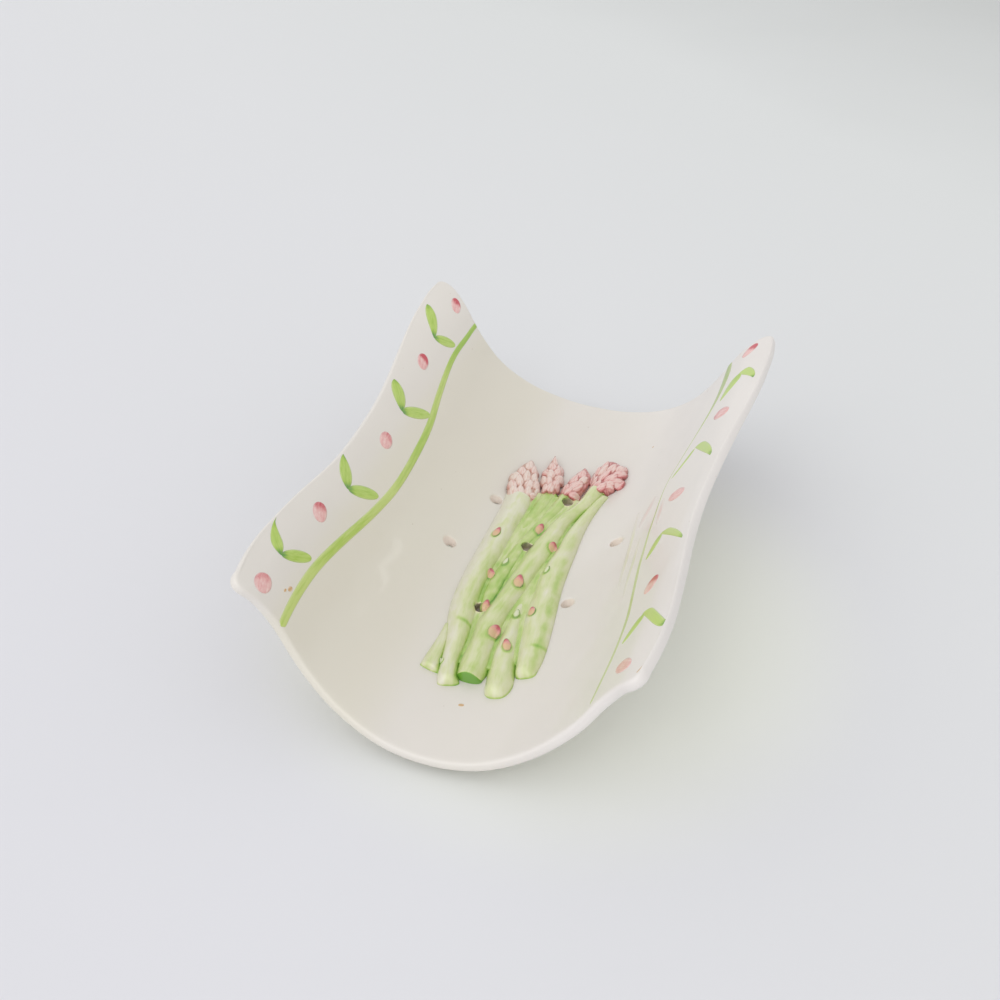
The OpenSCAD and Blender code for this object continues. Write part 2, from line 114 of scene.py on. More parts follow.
# Spears: along share of the half bundle, then left and right edges as shares of the half width
LEFT_SPEAR = np.array([
    [-1.00, -0.36, -0.10], [-0.93, -0.42, -0.15], [-0.86, -0.46, -0.20],
    [-0.75, -0.52, -0.23], [-0.64, -0.60, -0.25], [-0.55, -0.67, -0.29], [-0.46, -0.72, -0.33],
    [-0.36, -0.75, -0.37], [-0.20, -0.77, -0.40], [0.03, -0.77, -0.38],
    [0.25, -0.77, -0.37], [0.45, -0.78, -0.34], [0.52, -0.80, -0.36],
])
SECOND_SPEAR = np.array([
    [-0.43, -0.38, -0.33], [-0.30, -0.42, -0.34], [-0.10, -0.43, -0.33], [0.08, -0.39, -0.28],
    [0.20, -0.38, -0.22], [0.32, -0.38, -0.15], [0.46, -0.35, -0.07], [0.62, -0.31, -0.03],
])
THIRD_SPEAR = np.array([
    [-0.45, -0.36, -0.17], [-0.30, -0.40, -0.13], [-0.18, -0.40, -0.12], [-0.05, -0.36, -0.10],
    [0.12, -0.30, -0.05], [0.24, -0.22, 0.03], [0.34, -0.16, 0.07], [0.42, -0.12, 0.14],
    [0.52, -0.07, 0.20], [0.62, -0.03, 0.24],
])
CROSSING_SPEAR = np.array([
    [-0.93, -0.17, 0.17], [-0.84, -0.22, 0.20], [-0.69, -0.23, 0.15],
    [-0.54, -0.27, 0.14], [-0.38, -0.20, 0.15], [-0.22, -0.16, 0.22],
    [-0.10, -0.12, 0.26], [0.08, -0.08, 0.34], [0.24, 0.02, 0.37],
    [0.38, 0.12, 0.41], [0.52, 0.30, 0.57], [0.70, 0.41, 0.72],
])
RIGHT_SPEAR = np.array([
    [-0.88, 0.60, 0.87], [-0.77, 0.53, 0.89], [-0.66, 0.46, 0.87],
    [-0.55, 0.40, 0.83], [-0.40, 0.32, 0.77], [-0.28, 0.31, 0.72],
    [-0.16, 0.28, 0.68], [-0.03, 0.28, 0.66], [0.10, 0.34, 0.65],
    [0.28, 0.38, 0.63], [0.40, 0.44, 0.64], [0.54, 0.54, 0.69], [0.66, 0.65, 0.76],
])
FRONT_SPEAR = np.array([
    [-1.01, 0.26, 0.61], [-0.92, 0.24, 0.60], [-0.86, 0.21, 0.575], [-0.74, 0.16, 0.50],
    [-0.61, 0.14, 0.43], [-0.50, 0.14, 0.37], [-0.38, 0.14, 0.31], [-0.30, 0.19, 0.30],
    [-0.20, 0.24, 0.32],
])
STUB_SPEAR = np.array([
    [-0.93, -0.68, -0.42], [-0.84, -0.67, -0.46], [-0.72, -0.65, -0.50],
    [-0.60, -0.65, -0.58],
])
# Height of each spear as a share of the crown
SPEAR_HEIGHTS = [1.15, 0.8, 0.9, 1.25, 1.0, 1.0, 0.8]
SPEARS = [
    LEFT_SPEAR, SECOND_SPEAR, THIRD_SPEAR, CROSSING_SPEAR, RIGHT_SPEAR, FRONT_SPEAR, STUB_SPEAR
]
SPEAR_NAMES = ["left", "second", "third", "crossing", "right", "front", "stub"]
# Butts: how far each slopes down to its end, how far its corners are set back, and how much
# further in its right corner lies than its left one
BUTTS = [
    (4.5*MM, 1.5*MM, 4*MM), (3*MM, 1*MM, 0), (3*MM, 1*MM, 0), (1.2*MM, 2.5*MM, 0),
    (4*MM, 2*MM, 0), (5.5*MM, 8*MM, 0), (2*MM, 0.5*MM, 0),
]
# Where glaze fills the bundle's floor between the spears
GROOVE_FLOOR = np.array([
    [-0.84, -0.30, 0.50], [-0.70, -0.40, 0.66], [-0.50, -0.50, 0.72], [-0.30, -0.56, 0.62],
    [-0.05, -0.56, 0.50], [0.20, -0.56, 0.48], [0.40, -0.56, 0.46], [0.58, -0.50, 0.46],
])

# Tips: along share, left edge, right edge
TIPS = [
    np.array([
        [0.46, -0.74, -0.36], [0.53, -0.84, -0.34], [0.62, -0.87, -0.34],
        [0.72, -0.85, -0.46], [0.79, -0.80, -0.54], [0.84, -0.74, -0.64],
    ]),
    np.array([
        [0.59, -0.30, -0.07], [0.66, -0.36, -0.05], [0.74, -0.44, -0.05],
        [0.82, -0.43, -0.12], [0.89, -0.41, -0.25], [0.95, -0.39, -0.35],
    ]),
    np.array([
        [0.60, 0.02, 0.30], [0.67, -0.02, 0.35], [0.74, 0.01, 0.38],
        [0.80, 0.05, 0.36], [0.85, 0.09, 0.33], [0.89, 0.16, 0.24],
    ]),
    np.array([
        [0.67, 0.42, 0.76], [0.73, 0.41, 0.87], [0.80, 0.39, 0.93],
        [0.88, 0.37, 0.93], [0.94, 0.40, 0.84], [0.98, 0.46, 0.72],
    ]),
]
TIP_NAMES = ["left", "second", "third", "right"]
# How strongly each tip is painted
TIP_TINTS = [0.25, 0.55, 0.8, 0.9]

# Scales of each tip: along share, across share, turn to the right in degrees, and length and
# width in millimetres
LEFT_SCALES = [
    (0.78, -0.68, -13, 9.0, 5.7), (0.76, -0.56, -6, 8.5, 5.8), (0.71, -0.75, -27, 8.5, 5.4),
    (0.69, -0.50, -5, 9.0, 5.7), (0.67, -0.63, -13, 11.0, 5.0), (0.65, -0.81, -25, 9.0, 6.0),
    (0.63, -0.42, 9, 8.5, 5.5), (0.61, -0.71, -23, 11.0, 5.2), (0.60, -0.53, 0, 9.0, 5.8),
    (0.58, -0.35, 4, 7.0, 4.2), (0.56, -0.78, -27, 9.5, 5.3), (0.54, -0.49, -10, 8.0, 5.0),
    (0.53, -0.38, 30, 5.5, 4.5), (0.52, -0.61, -19, 9.0, 5.0), (0.51, -0.72, -23, 8.0, 5.6),
]
SECOND_SCALES = [
    (0.89, -0.31, -24, 8.5, 4.2), (0.84, -0.19, -11, 9.5, 4.6), (0.83, -0.32, -30, 8.0, 5.2),
    (0.79, -0.19, 4, 8.0, 4.6), (0.77, -0.38, -38, 8.0, 4.5), (0.75, -0.28, -25, 9.0, 5.6),
    (0.73, -0.11, 14, 7.5, 5.6), (0.69, -0.35, -30, 7.5, 4.4), (0.68, -0.25, -18, 8.5, 4.6),
    (0.66, -0.12, 4, 8.5, 5.6), (0.62, -0.17, -5, 8.0, 4.8), (0.61, -0.26, -12, 7.0, 4.4),
]
THIRD_SCALES = [
    (0.81, 0.21, 3, 8.5, 6.6), (0.76, 0.28, 16, 8.0, 5.0), (0.75, 0.12, 8, 9.5, 6.2),
    (0.68, 0.21, 30, 11.5, 8.4), (0.65, 0.05, 3, 8.0, 5.4), (0.62, 0.13, 30, 6.5, 5.0),
    (0.60, 0.25, 55, 7.0, 5.0),
]
RIGHT_SCALES = [
    (0.93, 0.53, 10, 9.0, 4.6), (0.90, 0.84, 10, 9.5, 6.4), (0.89, 0.69, 8, 10.0, 6.6),
    (0.88, 0.54, 14, 12.0, 5.2), (0.88, 0.42, 2, 9.0, 5.2), (0.84, 0.86, 50, 8.5, 6.0),
    (0.81, 0.39, -4, 9.0, 4.2), (0.81, 0.62, 25, 13.0, 5.6), (0.78, 0.76, 34, 11.0, 6.4),
    (0.76, 0.46, 14, 9.0, 5.0), (0.76, 0.88, 45, 8.5, 6.4), (0.72, 0.76, 55, 7.5, 6.0),
    (0.71, 0.56, 28, 8.5, 5.6), (0.69, 0.66, 45, 8.0, 5.4),
]
SCALES = [LEFT_SCALES, SECOND_SCALES, THIRD_SCALES, RIGHT_SCALES]

# Bracts: along share, across share, turn to the right in degrees, and length and width in
# millimetres
PINK_BRACTS = [
    (0.11, -0.62, 5, 9.0, 4.6), (0.26, -0.03, 2, 9.5, 5.4), (0.12, 0.31, 2, 8.5, 5.0),
    (-0.18, -0.40, -12, 9.0, 5.0), (-0.22, 0.07, -6, 10.0, 6.2), (-0.42, -0.24, -5, 8.5, 5.0),
    (-0.43, 0.47, -18, 8.0, 5.0), (-0.60, 0.07, 8, 11.0, 6.4), (-0.69, 0.34, -25, 9.5, 5.0),
]
GREEN_BRACTS = [
    (-0.07, -0.28, 4, 7.0, 3.8), (-0.092, 0.40, 4, 6.5, 3.8), (-0.44, 0.24, -6, 7.5, 4.2),
    (-0.86, -0.45, -24, 4.5, 2.4),
]

# Stems: along share, across share
LEFT_STEM = np.array([
    [-1.012, -0.732], [-0.87, -0.739], [-0.73, -0.744], [-0.52, -0.737], [-0.30, -0.721],
    [-0.12, -0.711], [0.11, -0.716], [0.32, -0.724], [0.50, -0.745], [0.75, -0.76],
    [0.90, -0.756], [1.015, -0.764],
])
RIGHT_STEM = np.array([
    [-0.99, 0.703], [-0.89, 0.713], [-0.72, 0.731], [-0.60, 0.731], [-0.40, 0.712],
    [-0.19, 0.69], [0.04, 0.662], [0.20, 0.64], [0.34, 0.636], [0.45, 0.664], [0.55, 0.70],
    [0.745, 0.758], [1.01, 0.792],
])
# Widths of the stems: along share, width in millimetres
LEFT_STEM_WIDTHS = np.array([
    [-1.012, 5.2], [-0.87, 5.8], [-0.60, 5.6], [-0.30, 5.2], [0, 5.3], [0.3, 5.4], [0.5, 5.0],
    [0.75, 4.2], [1.015, 3.4],
])
RIGHT_STEM_WIDTHS = np.array([
    [-0.99, 2.6], [-0.72, 2.7], [-0.45, 2.5], [-0.19, 2.3], [0.04, 1.6], [0.20, 1.0], [0.34, 0.8],
    [0.45, 1.1], [0.60, 1.8], [0.72, 3.6], [0.85, 6.0], [0.96, 6.2], [1.01, 4.4],
])
# Leaves: across and along shares of the joint, then of the point, and width in millimetres
LEFT_UPRIGHT_LEAVES = [
    (-0.896, 0.681, -0.985, 0.822, 7.4), (-0.891, 0.214, -0.984, 0.308, 9.8),
    (-0.879, -0.324, -0.998, -0.218, 9.0), (-0.887, -0.801, -1.0, -0.708, 7.2),
]
LEFT_LEVEL_LEAVES = [
    (-0.894, 0.682, -0.784, 0.787, 7.2), (-0.889, 0.215, -0.744, 0.354, 8.0),
    (-0.877, -0.323, -0.752, -0.213, 8.4), (-0.885, -0.80, -0.782, -0.702, 7.6),
]
RIGHT_STALKS = [
    (0.81, 0.699, 0.89, 0.808, 9.0), (0.662, 0.326, 0.768, 0.434, 3.4),
    (0.737, -0.237, 0.797, -0.118, 6.0), (0.769, -0.756, 0.868, -0.656, 7.0),
]
RIGHT_CAPS = [
    (0.879, 0.812, 0.972, 0.717, 6.4), (0.766, 0.438, 0.946, 0.252, 6.4),
    (0.791, -0.116, 0.975, -0.270, 5.2), (0.850, -0.649, 0.995, -0.792, 6.6),
]
# Buds: across and along shares of the middle, length and width in millimetres, turn from straight
# across in degrees, and how much more colour lies at the far end
LEFT_BUDS = [
    (-0.893, 0.945, 11.4, 8.4, 112, 0.15), (-0.897, 0.522, 12.6, 9.2, 100, 0.35),
    (-0.885, 0.026, 12.4, 9.8, 95, -0.15), (-0.892, -0.517, 13.4, 9.8, 115, 0),
    (-0.885, -0.945, 12.6, 10.2, 115, -0.15),
]
RIGHT_BUDS = [
    (0.910, 0.958, 10.8, 8.5, 34, 0.3), (0.871, 0.563, 14.9, 9.7, 140, -0.15),
    (0.787, 0.138, 15.9, 10.2, 149, -0.3), (0.845, -0.468, 14.2, 10.2, 73, 0.2),
    (0.865, -0.915, 13.9, 9.9, 164, -0.3),
]
# Specks, in the same columns, with the depth of their colour last
SPECKS = [
    (0.362, 0.723, 1.7, 1.3, 60, 0), (0.042, -0.778, 3.0, 2.2, 10, 0),
    (-0.777, -0.878, 4.0, 3.0, 80, 0), (-0.792, -0.90, 2.4, 1.8, 90, 0),
    (0.99, -0.985, 3.0, 2.2, 40, 0),
]
# Where a brush wiped the wall: across and along shares of its ends, and width in millimetres
PINK_WIPES = [(0.555, 0.09, 0.575, 0.28, 5.0), (0.715, 0.0, 0.672, 0.20, 3.6)]
GREEN_WIPES = [(0.495, 0.22, 0.577, -0.30, 3.5), (0.60, 0.0, 0.64, -0.40, 3.0)]


def smooth_step(low, high, x):
    """0 below low, 1 above high and a soft rise between them."""
    t = np.clip((x - low)/(high - low), 0, 1)
    return t*t*(3 - 2*t)


def follow(table, column, at):
    """Smooth line through one column of a table, against its first column."""
    xs = table[:, 0]
    ys = table[:, column]
    slopes = np.gradient(ys, xs)
    k = np.clip(np.searchsorted(xs, at) - 1, 0, len(xs) - 2)
    span = xs[k + 1] - xs[k]
    t = np.clip((at - xs[k])/span, 0, 1)
    start = ys[k]*(2*t**3 - 3*t**2 + 1) + slopes[k]*span*(t**3 - 2*t**2 + t)
    end = ys[k + 1]*(3*t**2 - 2*t**3) + slopes[k + 1]*span*(t**3 - t**2)
    return start + end


def half_arc(v):
    """Arc from the floor's centre line to the rim."""
    return SIDE_ARC + CORNER_RISE*v*v + SHOULDER_RISE*v*v*(1 - v*v) + FAR_RISE*v


def lean(v):
    """Lean of the walls."""
    return WALL_LEAN + LEAN_GAIN*(v*v - 0.5)


def corner_cut(u):
    """How much the corner's round takes off the end."""
    depth = np.clip(CORNER_RADIUS - (1 - np.abs(u))*CORNER_ARC, 0, CORNER_RADIUS)
    return CORNER_RADIUS - np.sqrt(CORNER_RADIUS**2 - depth**2)


def half_length(u):
    """Half length of the sheet."""
    return SHEET_LENGTH/2 + END_BOW*(1 - u*u) - END_SCOOP*(1 - u*u)*u*u - corner_cut(u)


def profile(arc, tilt):
    """Across place, height and lean of the inner face, by arc from the centre line."""
    turn = np.minimum(np.maximum(arc - FLOOR_FLAT, 0)/BEND_RADIUS, tilt)
    bend_end = FLOOR_FLAT + BEND_RADIUS*tilt
    straight = np.maximum(np.minimum(arc, FLARE_START) - bend_end, 0)
    flare = np.maximum(arc - FLARE_START, 0)/FLARE_RADIUS
    across = (
        np.minimum(arc, FLOOR_FLAT) + BEND_RADIUS*np.sin(turn) + straight*np.cos(tilt)
        + FLARE_RADIUS*(np.sin(tilt) - np.sin(tilt - flare))
    )
    height = (
        BEND_RADIUS*(1 - np.cos(turn)) + straight*np.sin(tilt)
        + FLARE_RADIUS*(np.cos(tilt - flare) - np.cos(tilt))
    )
    return across, height, turn - flare


def unevenness(u, v):
    """Slow waves of clay pressed by hand."""
    return (
        0.16*MM*np.sin(9.1*u + 3.3*v + 0.4)
        + 0.13*MM*np.sin(5.2*u - 9.7*v + 1.9)
        + 0.09*MM*np.sin(17.3*u + 8.4*v + 2.7)*np.cos(13.1*v)
        + 0.05*MM*np.sin(31.0*u - 23.0*v)
    )


def rim_reach(u, v):
    """How far a place near the rim is drawn out beyond the plate's even outline."""
    left = LEFT_FAR_REACH*smooth_step(-0.35, 0.05, v)
    left -= LEFT_NEAR_DRAW*smooth_step(-0.45, -0.75, v)
    corner = CORNER_DRAW*smooth_step(0.9, 1.0, np.abs(u))*smooth_step(0.8, 1.0, v)
    return left*smooth_step(0.92, 1.0, -u) + corner, corner


def place(u, v, lift):
    """Point over the inner face."""
    side = np.where(u < 0, -1.0, 1.0)
    out, forth = rim_reach(u, v)
    across, height, angle = profile(np.abs(u)*half_arc(v) + out, lean(v))
    raised = lift + unevenness(u, v)
    x = side*(across - raised*np.sin(angle))
    bulge = FAR_BULGE*(1 - u*u)**2*smooth_step(0.75, 1.0, v)
    y = v*half_length(u) + END_SKEW*u + bulge + forth
    z = FLOOR_TOP + height + raised*np.cos(angle)
    return np.stack([x, y, z], axis=-1)


def outward(u, v):
    """Way out of the sheet across it."""
    side = np.where(u < 0, -1.0, 1.0)
    angle = profile(np.abs(u)*half_arc(v), lean(v))[2]
    return np.stack([side*np.cos(angle), np.zeros_like(angle), np.sin(angle)], axis=-1)


# Rounds in which the along share of a place on the sheet settles
LAND_ROUNDS = 6


def land(x, y, turn, side):
    """Shares of a place on the floor's bend, by its y and its turn round the bend."""
    arc = np.where(turn > 0, FLOOR_FLAT + BEND_RADIUS*turn, np.abs(x))
    v = y/MIDDLE_LENGTH
    for _ in range(LAND_ROUNDS):
        u = side*arc/half_arc(v)
        v = (y - END_SKEW*u)/half_length(u)
    return u, v


def under(x, y, lift):
    """Shares of the point at a given lift that stands over (x, y)."""
    reach = np.clip((np.abs(x) - FLOOR_FLAT)/(BEND_RADIUS - lift), 0, 1)
    return land(x, y, np.arcsin(reach), np.sign(x))


def unroll(points):
    """Shares and lift of points over the floor's bend."""
    x, y, z = points.T
    beyond = np.maximum(np.abs(x) - FLOOR_FLAT, 0)
    drop = FLOOR_TOP + BEND_RADIUS - z
    u, v = land(x, y, np.arctan2(beyond, drop), np.sign(x))
    return u, v, BEND_RADIUS - np.hypot(beyond, drop)


def bundle_shares(u, v):
    """Along and across shares of the bundle at shares of the sheet."""
    b = (v*MIDDLE_LENGTH + BUNDLE_BACK)/(BUNDLE_LENGTH/2)
    a = (u*half_arc(v) - BUNDLE_RIGHT)/(BUNDLE_WIDTH/2)
    return b, a


def bundle_place(b, a, lift):
    """Point over the floor at shares of the bundle."""
    v = (b*BUNDLE_LENGTH/2 - BUNDLE_BACK)/MIDDLE_LENGTH
    return place((a*BUNDLE_WIDTH/2 + BUNDLE_RIGHT)/half_arc(v), v, lift)


def spear_top(k, b, a):
    """Height of a spear over the floor."""
    low = follow(SPEARS[k], 1, b)
    high = follow(SPEARS[k], 2, b)
    x = np.clip((2*a - low - high)/(high - low), -1, 1)
    fullness = np.minimum((high - low)*BUNDLE_WIDTH/2/SPEAR_WIDTH, 1)
    section = (1 - np.abs(x)**SPEAR_POWER)**SPEAR_FULLNESS
    return SPEAR_EDGE + SPEAR_CROWN*SPEAR_HEIGHTS[k]*fullness*section


def butt_line(k, x):
    """How far in a spear's near end lies, by place across the spear."""
    set_back, skew = BUTTS[k][1:]
    return set_back*(1 - np.sqrt(1 - np.abs(x)**3)) + skew*(x + 1)/2


def bed(b, a):
    """Height of the highest spear at a place."""
    tops = []
    for k, table in enumerate(SPEARS):
        low = follow(table, 1, b)
        high = follow(table, 2, b)
        x = np.clip((2*a - low - high)/(high - low), -1, 1)
        way = (b - table[0, 0])*BUNDLE_LENGTH/2 - butt_line(k, x)
        slope = np.clip(way/BUTTS[k][0], 0, 1)
        within = (way > 0) & (b <= table[-1, 0]) & (a >= low) & (a <= high)
        tops.append(np.where(within, spear_top(k, b, a)*np.sqrt(slope*(2 - slope)), 0))
    return np.max(tops, axis=0)


# Directions in which a point looks for a groove's two sides
GROOVE_LOOKS = 4


def groove_depth(b, a, lift, reach):
    """How far a point lies below what stands on both sides of it."""
    deepest = np.full_like(b, -1.0)
    for turn in np.linspace(0, math.pi, GROOVE_LOOKS + 1)[:-1]:
        along = reach*math.sin(turn)/(BUNDLE_LENGTH/2)
        across = reach*math.cos(turn)/(BUNDLE_WIDTH/2)
        lower = np.minimum(bed(b + along, a + across), bed(b - along, a - across))
        deepest = np.maximum(deepest, lower - lift)
    return deepest


def grid_faces(rows, columns, first, upward):
    """Quads of a grid of points that are numbered row by row."""
    stride = columns + 1
    corner = first + (np.arange(rows)[:, None]*stride + np.arange(columns)).ravel()
    quads = np.stack([corner, corner + 1, corner + stride + 1, corner + stride], axis=1)
    return quads if upward else quads[:, ::-1]


def ring_faces(outer, inner):
    """Quads between two rings of the same count."""
    return np.stack([outer, np.roll(outer, -1), np.roll(inner, -1), inner], axis=1)


def cap_faces(ring):
    """Quads across a flat ring of an even count."""
    k = np.arange(len(ring)//2 - 1)
    return np.stack([ring[k], ring[k + 1], ring[-2 - k], ring[-1 - k]], axis=1)


def edge_loop(rows, columns, first):
    """Indices round a grid's edge, turning left."""
    stride = columns + 1
    near = np.arange(columns)
    right = columns + stride*np.arange(rows)
    far = rows*stride + np.arange(columns, 0, -1)
    left = stride*np.arange(rows, 0, -1)
    return first + np.concatenate([near, right, far, left])


def closed_sheet(top, bottom):
    """Points and quads of a closed body between two grids of the same shape."""
    rows, columns = top.shape[0] - 1, top.shape[1] - 1
    count = (rows + 1)*(columns + 1)
    points = np.concatenate([top.reshape(-1, 3), bottom.reshape(-1, 3)])
    upper = edge_loop(rows, columns, 0)
    faces = [
        grid_faces(rows, columns, 0, True),
        grid_faces(rows, columns, count, False),
        ring_faces(upper + count, upper),
    ]
    return points, np.concatenate(faces)


def gather(bodies):
    """Several bodies as one list of points and quads."""
    points = []
    faces = []
    count = 0
    for body_points, body_faces in bodies:
        points.append(body_points)
        faces.append(body_faces + count)
        count += len(body_points)
    return np.concatenate(points), np.concatenate(faces)


def add_piece(name, points, faces, finish, nodes):
    """A shaded piece that stands for its nodes and rides with them."""
    mesh = bpy.data.meshes.new(name)
    mesh.from_pydata(points.tolist(), [], faces.tolist())
    mesh.shade_smooth()
    mesh.materials.append(finish)
    piece = bpy.data.objects.new(name, mesh)
    bpy.context.scene.collection.objects.link(piece)
    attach(piece, "root")
    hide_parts(*nodes)
    return piece


def mark(piece, name, values):
    """Gives each point of a piece a number that its finish reads."""
    attribute = piece.data.attributes.new(name, "FLOAT", "POINT")
    attribute.data.foreach_set("value", np.asarray(values, dtype=np.float32).ravel())


def mark_grain(piece, along, across):
    """Gives each point of a piece its place along and across the grain, in metres."""
    attribute = piece.data.attributes.new("grain", "FLOAT_VECTOR", "POINT")
    grain = np.stack([along, across, np.zeros_like(along)], axis=-1)
    attribute.data.foreach_set("vector", grain.astype(np.float32).ravel())


def points_of(piece):
    """A piece's points."""
    points = np.empty(len(piece.data.vertices)*3)
    piece.data.vertices.foreach_get("co", points)
    return points.reshape(-1, 3)


def linear(code):
    """Linear colour of an sRGB hex code."""
    channels = [int(code[i:i + 2], 16)/255 for i in (1, 3, 5)]
    return [c/12.92 if c <= 0.04045 else ((c + 0.055)/1.055)**2.4 for c in channels] + [1.0]


def per(size):
    """Texture scale of a pattern of that size in metres."""
    return 1/size


# A colour mix's sockets: how much of the upper colour shows, the two colours, and their mix
MIX_SHARE = 0
MIX_LOWER = 6
MIX_UPPER = 7
MIXED = 2


def add_node(tree, kind, settings, links):
    """Adds a node, with its settings by input or property and its links by input.

    Inputs that share a name, as those of sums and mixes do, go by number.
    """
    node = tree.nodes.new(kind)
    for key, value in settings.items():
        if key == "stops":
            ramp = node.color_ramp
            while len(ramp.elements) < len(value):
                ramp.elements.new(1.0)
            for element, (position, colour) in zip(ramp.elements, value):
                element.position = position
                element.color = linear(colour)
        elif isinstance(key, int) or key in node.inputs:
            node.inputs[key].default_value = value
        else:
            setattr(node, key, value)
    for key, socket in links.items():
        tree.links.new(socket, node.inputs[key])
    return node


# Refraction of fired glaze and of the clear skin on it, and how smooth that skin is
GLAZE_IOR = 1.5
SKIN_ROUGHNESS = 0.06


def new_finish(name, roughness, coat):
    """A glossy finish without its colour yet: its material, nodes and shader."""
    material = bpy.data.materials.new(name)
    material.use_nodes = True
    shader = material.node_tree.nodes["Principled BSDF"]
    shader.inputs["Roughness"].default_value = roughness
    shader.inputs["IOR"].default_value = GLAZE_IOR
    shader.inputs["Coat Weight"].default_value = coat
    shader.inputs["Coat Roughness"].default_value = SKIN_ROUGHNESS
    shader.inputs["Coat IOR"].default_value = GLAZE_IOR
    return material, material.node_tree, shader


# White tin glaze, poured over pale stoneware: a warm wet white, creamier towards the left wall,
# with painted light paling the drain holes, a few iron specks and a very slightly uneven shine.
def white_tin_glaze():
    material, tree, shader = new_finish("white_tin_glaze", roughness=0.36, coat=0.3)
    warm, bore = [
        add_node(tree, "ShaderNodeAttribute", {"attribute_name": mark_name}, {})
        for mark_name in ("warm", "bore")
    ]
    where = add_node(tree, "ShaderNodeTexCoord", {}, {})
    cloud = add_node(
        tree, "ShaderNodeTexNoise", {"Scale": per(55*MM), "Detail": 3.0},
        {"Vector": where.outputs["Object"]})
    white = add_node(
        tree, "ShaderNodeValToRGB", {"stops": [(0.3, "#e3deda"), (0.7, "#dfdad6")]},
        {"Fac": cloud.outputs["Fac"]})
    cream = add_node(
        tree, "ShaderNodeMix", {"data_type": "RGBA", MIX_UPPER: linear("#ddd8cb")},
        {MIX_SHARE: warm.outputs["Fac"], MIX_LOWER: white.outputs["Color"]})
    specks = add_node(
        tree, "ShaderNodeTexVoronoi", {"Scale": per(16*MM)}, {"Vector": where.outputs["Object"]})
    dot = add_node(
        tree, "ShaderNodeMapRange",
        {"From Min": 0.018, "From Max": 0.034, "To Min": 0.35, "To Max": 0.0},
        {"Value": specks.outputs["Distance"]})
    colour = add_node(
        tree, "ShaderNodeMix", {"data_type": "RGBA", MIX_UPPER: linear("#a08a70")},
        {MIX_SHARE: dot.outputs["Result"], MIX_LOWER: cream.outputs[MIXED]})
    # Painted light: the drain holes are paler, which lifts the shade in them
    painted_bore_light = add_node(
        tree, "ShaderNodeMix", {"data_type": "RGBA", MIX_UPPER: linear("#ece1d7")},
        {MIX_SHARE: bore.outputs["Fac"], MIX_LOWER: colour.outputs[MIXED]})
    tree.links.new(painted_bore_light.outputs[MIXED], shader.inputs["Base Color"])
    skin = add_node(
        tree, "ShaderNodeTexNoise", {"Scale": per(7*MM), "Detail": 2.0},
        {"Vector": where.outputs["Object"]})
    bump = add_node(
        tree, "ShaderNodeBump", {"Strength": 0.35, "Distance": 0.06*MM},
        {"Height": skin.outputs["Fac"]})
    tree.links.new(bump.outputs["Normal"], shader.inputs["Normal"])
    tree.links.new(bump.outputs["Normal"], shader.inputs["Coat Normal"])
    return material


# Green glaze, thin and translucent over white: almost cream on the round backs, where it ran
# off, and a deep grass green in the grooves, where it pooled, with streaks along each spear,
# painted shade deepening the green of the two middle spears and painted light paling the drain
# holes.
def pooled_and_shaded_green_glaze():
    material, tree, shader = new_finish("pooled_and_shaded_green_glaze", roughness=0.28, coat=0.8)
    grain, pool, bore = [
        add_node(tree, "ShaderNodeAttribute", {"attribute_name": mark_name}, {})
        for mark_name in ("grain", "pool", "bore")
    ]
    stretched = add_node(
        tree, "ShaderNodeMapping", {"Scale": (0.25, 1.0, 1.0)}, {"Vector": grain.outputs["Vector"]})
    streak = add_node(
        tree, "ShaderNodeTexNoise", {"Scale": per(3.6*MM), "Detail": 3.0, "Roughness": 0.55},
        {"Vector": stretched.outputs["Vector"]})
    patch = add_node(
        tree, "ShaderNodeTexNoise", {"Scale": per(17*MM), "Detail": 2.0},
        {"Vector": grain.outputs["Vector"]})
    mottle = add_node(
        tree, "ShaderNodeMath", {"operation": "MULTIPLY_ADD", 1: 0.65},
        {0: patch.outputs["Fac"], 2: streak.outputs["Fac"]})
    puddle = add_node(
        tree, "ShaderNodeTexNoise", {"Scale": per(8*MM), "Detail": 1.0},
        {"Vector": grain.outputs["Vector"]})
    gathering = add_node(
        tree, "ShaderNodeMapRange",
        {"From Min": 0.35, "From Max": 0.65, "To Min": 0.6, "To Max": 1.15},
        {"Value": puddle.outputs["Fac"]})
    gathered = add_node(
        tree, "ShaderNodeMath", {"operation": "MULTIPLY"},
        {0: pool.outputs["Fac"], 1: gathering.outputs["Result"]})
    depth = add_node(
        tree, "ShaderNodeMath", {"operation": "MULTIPLY_ADD", 1: 0.5},
        {0: mottle.outputs["Value"], 2: gathered.outputs["Value"]})
    colour = add_node(
        tree, "ShaderNodeValToRGB",
        {"stops": [
            (0.26, "#dfddc8"), (0.43, "#d2d7a6"), (0.58, "#bccd80"), (0.78, "#9bc052"),
            (1.0, "#689e34"),
        ]},
        {"Fac": depth.outputs["Value"]})
    # Painted light: the lower walls of the drain holes are paled, lifting the shade in them
    painted_bore_light = add_node(
        tree, "ShaderNodeMix", {"data_type": "RGBA", MIX_UPPER: linear("#f3e4c8")},
        {MIX_SHARE: bore.outputs["Fac"], MIX_LOWER: colour.outputs["Color"]})
    tree.links.new(painted_bore_light.outputs[MIXED], shader.inputs["Base Color"])
    bump = add_node(
        tree, "ShaderNodeBump", {"Strength": 0.25, "Distance": 0.08*MM},
        {"Height": streak.outputs["Fac"]})
    tree.links.new(bump.outputs["Normal"], shader.inputs["Normal"])
    return material


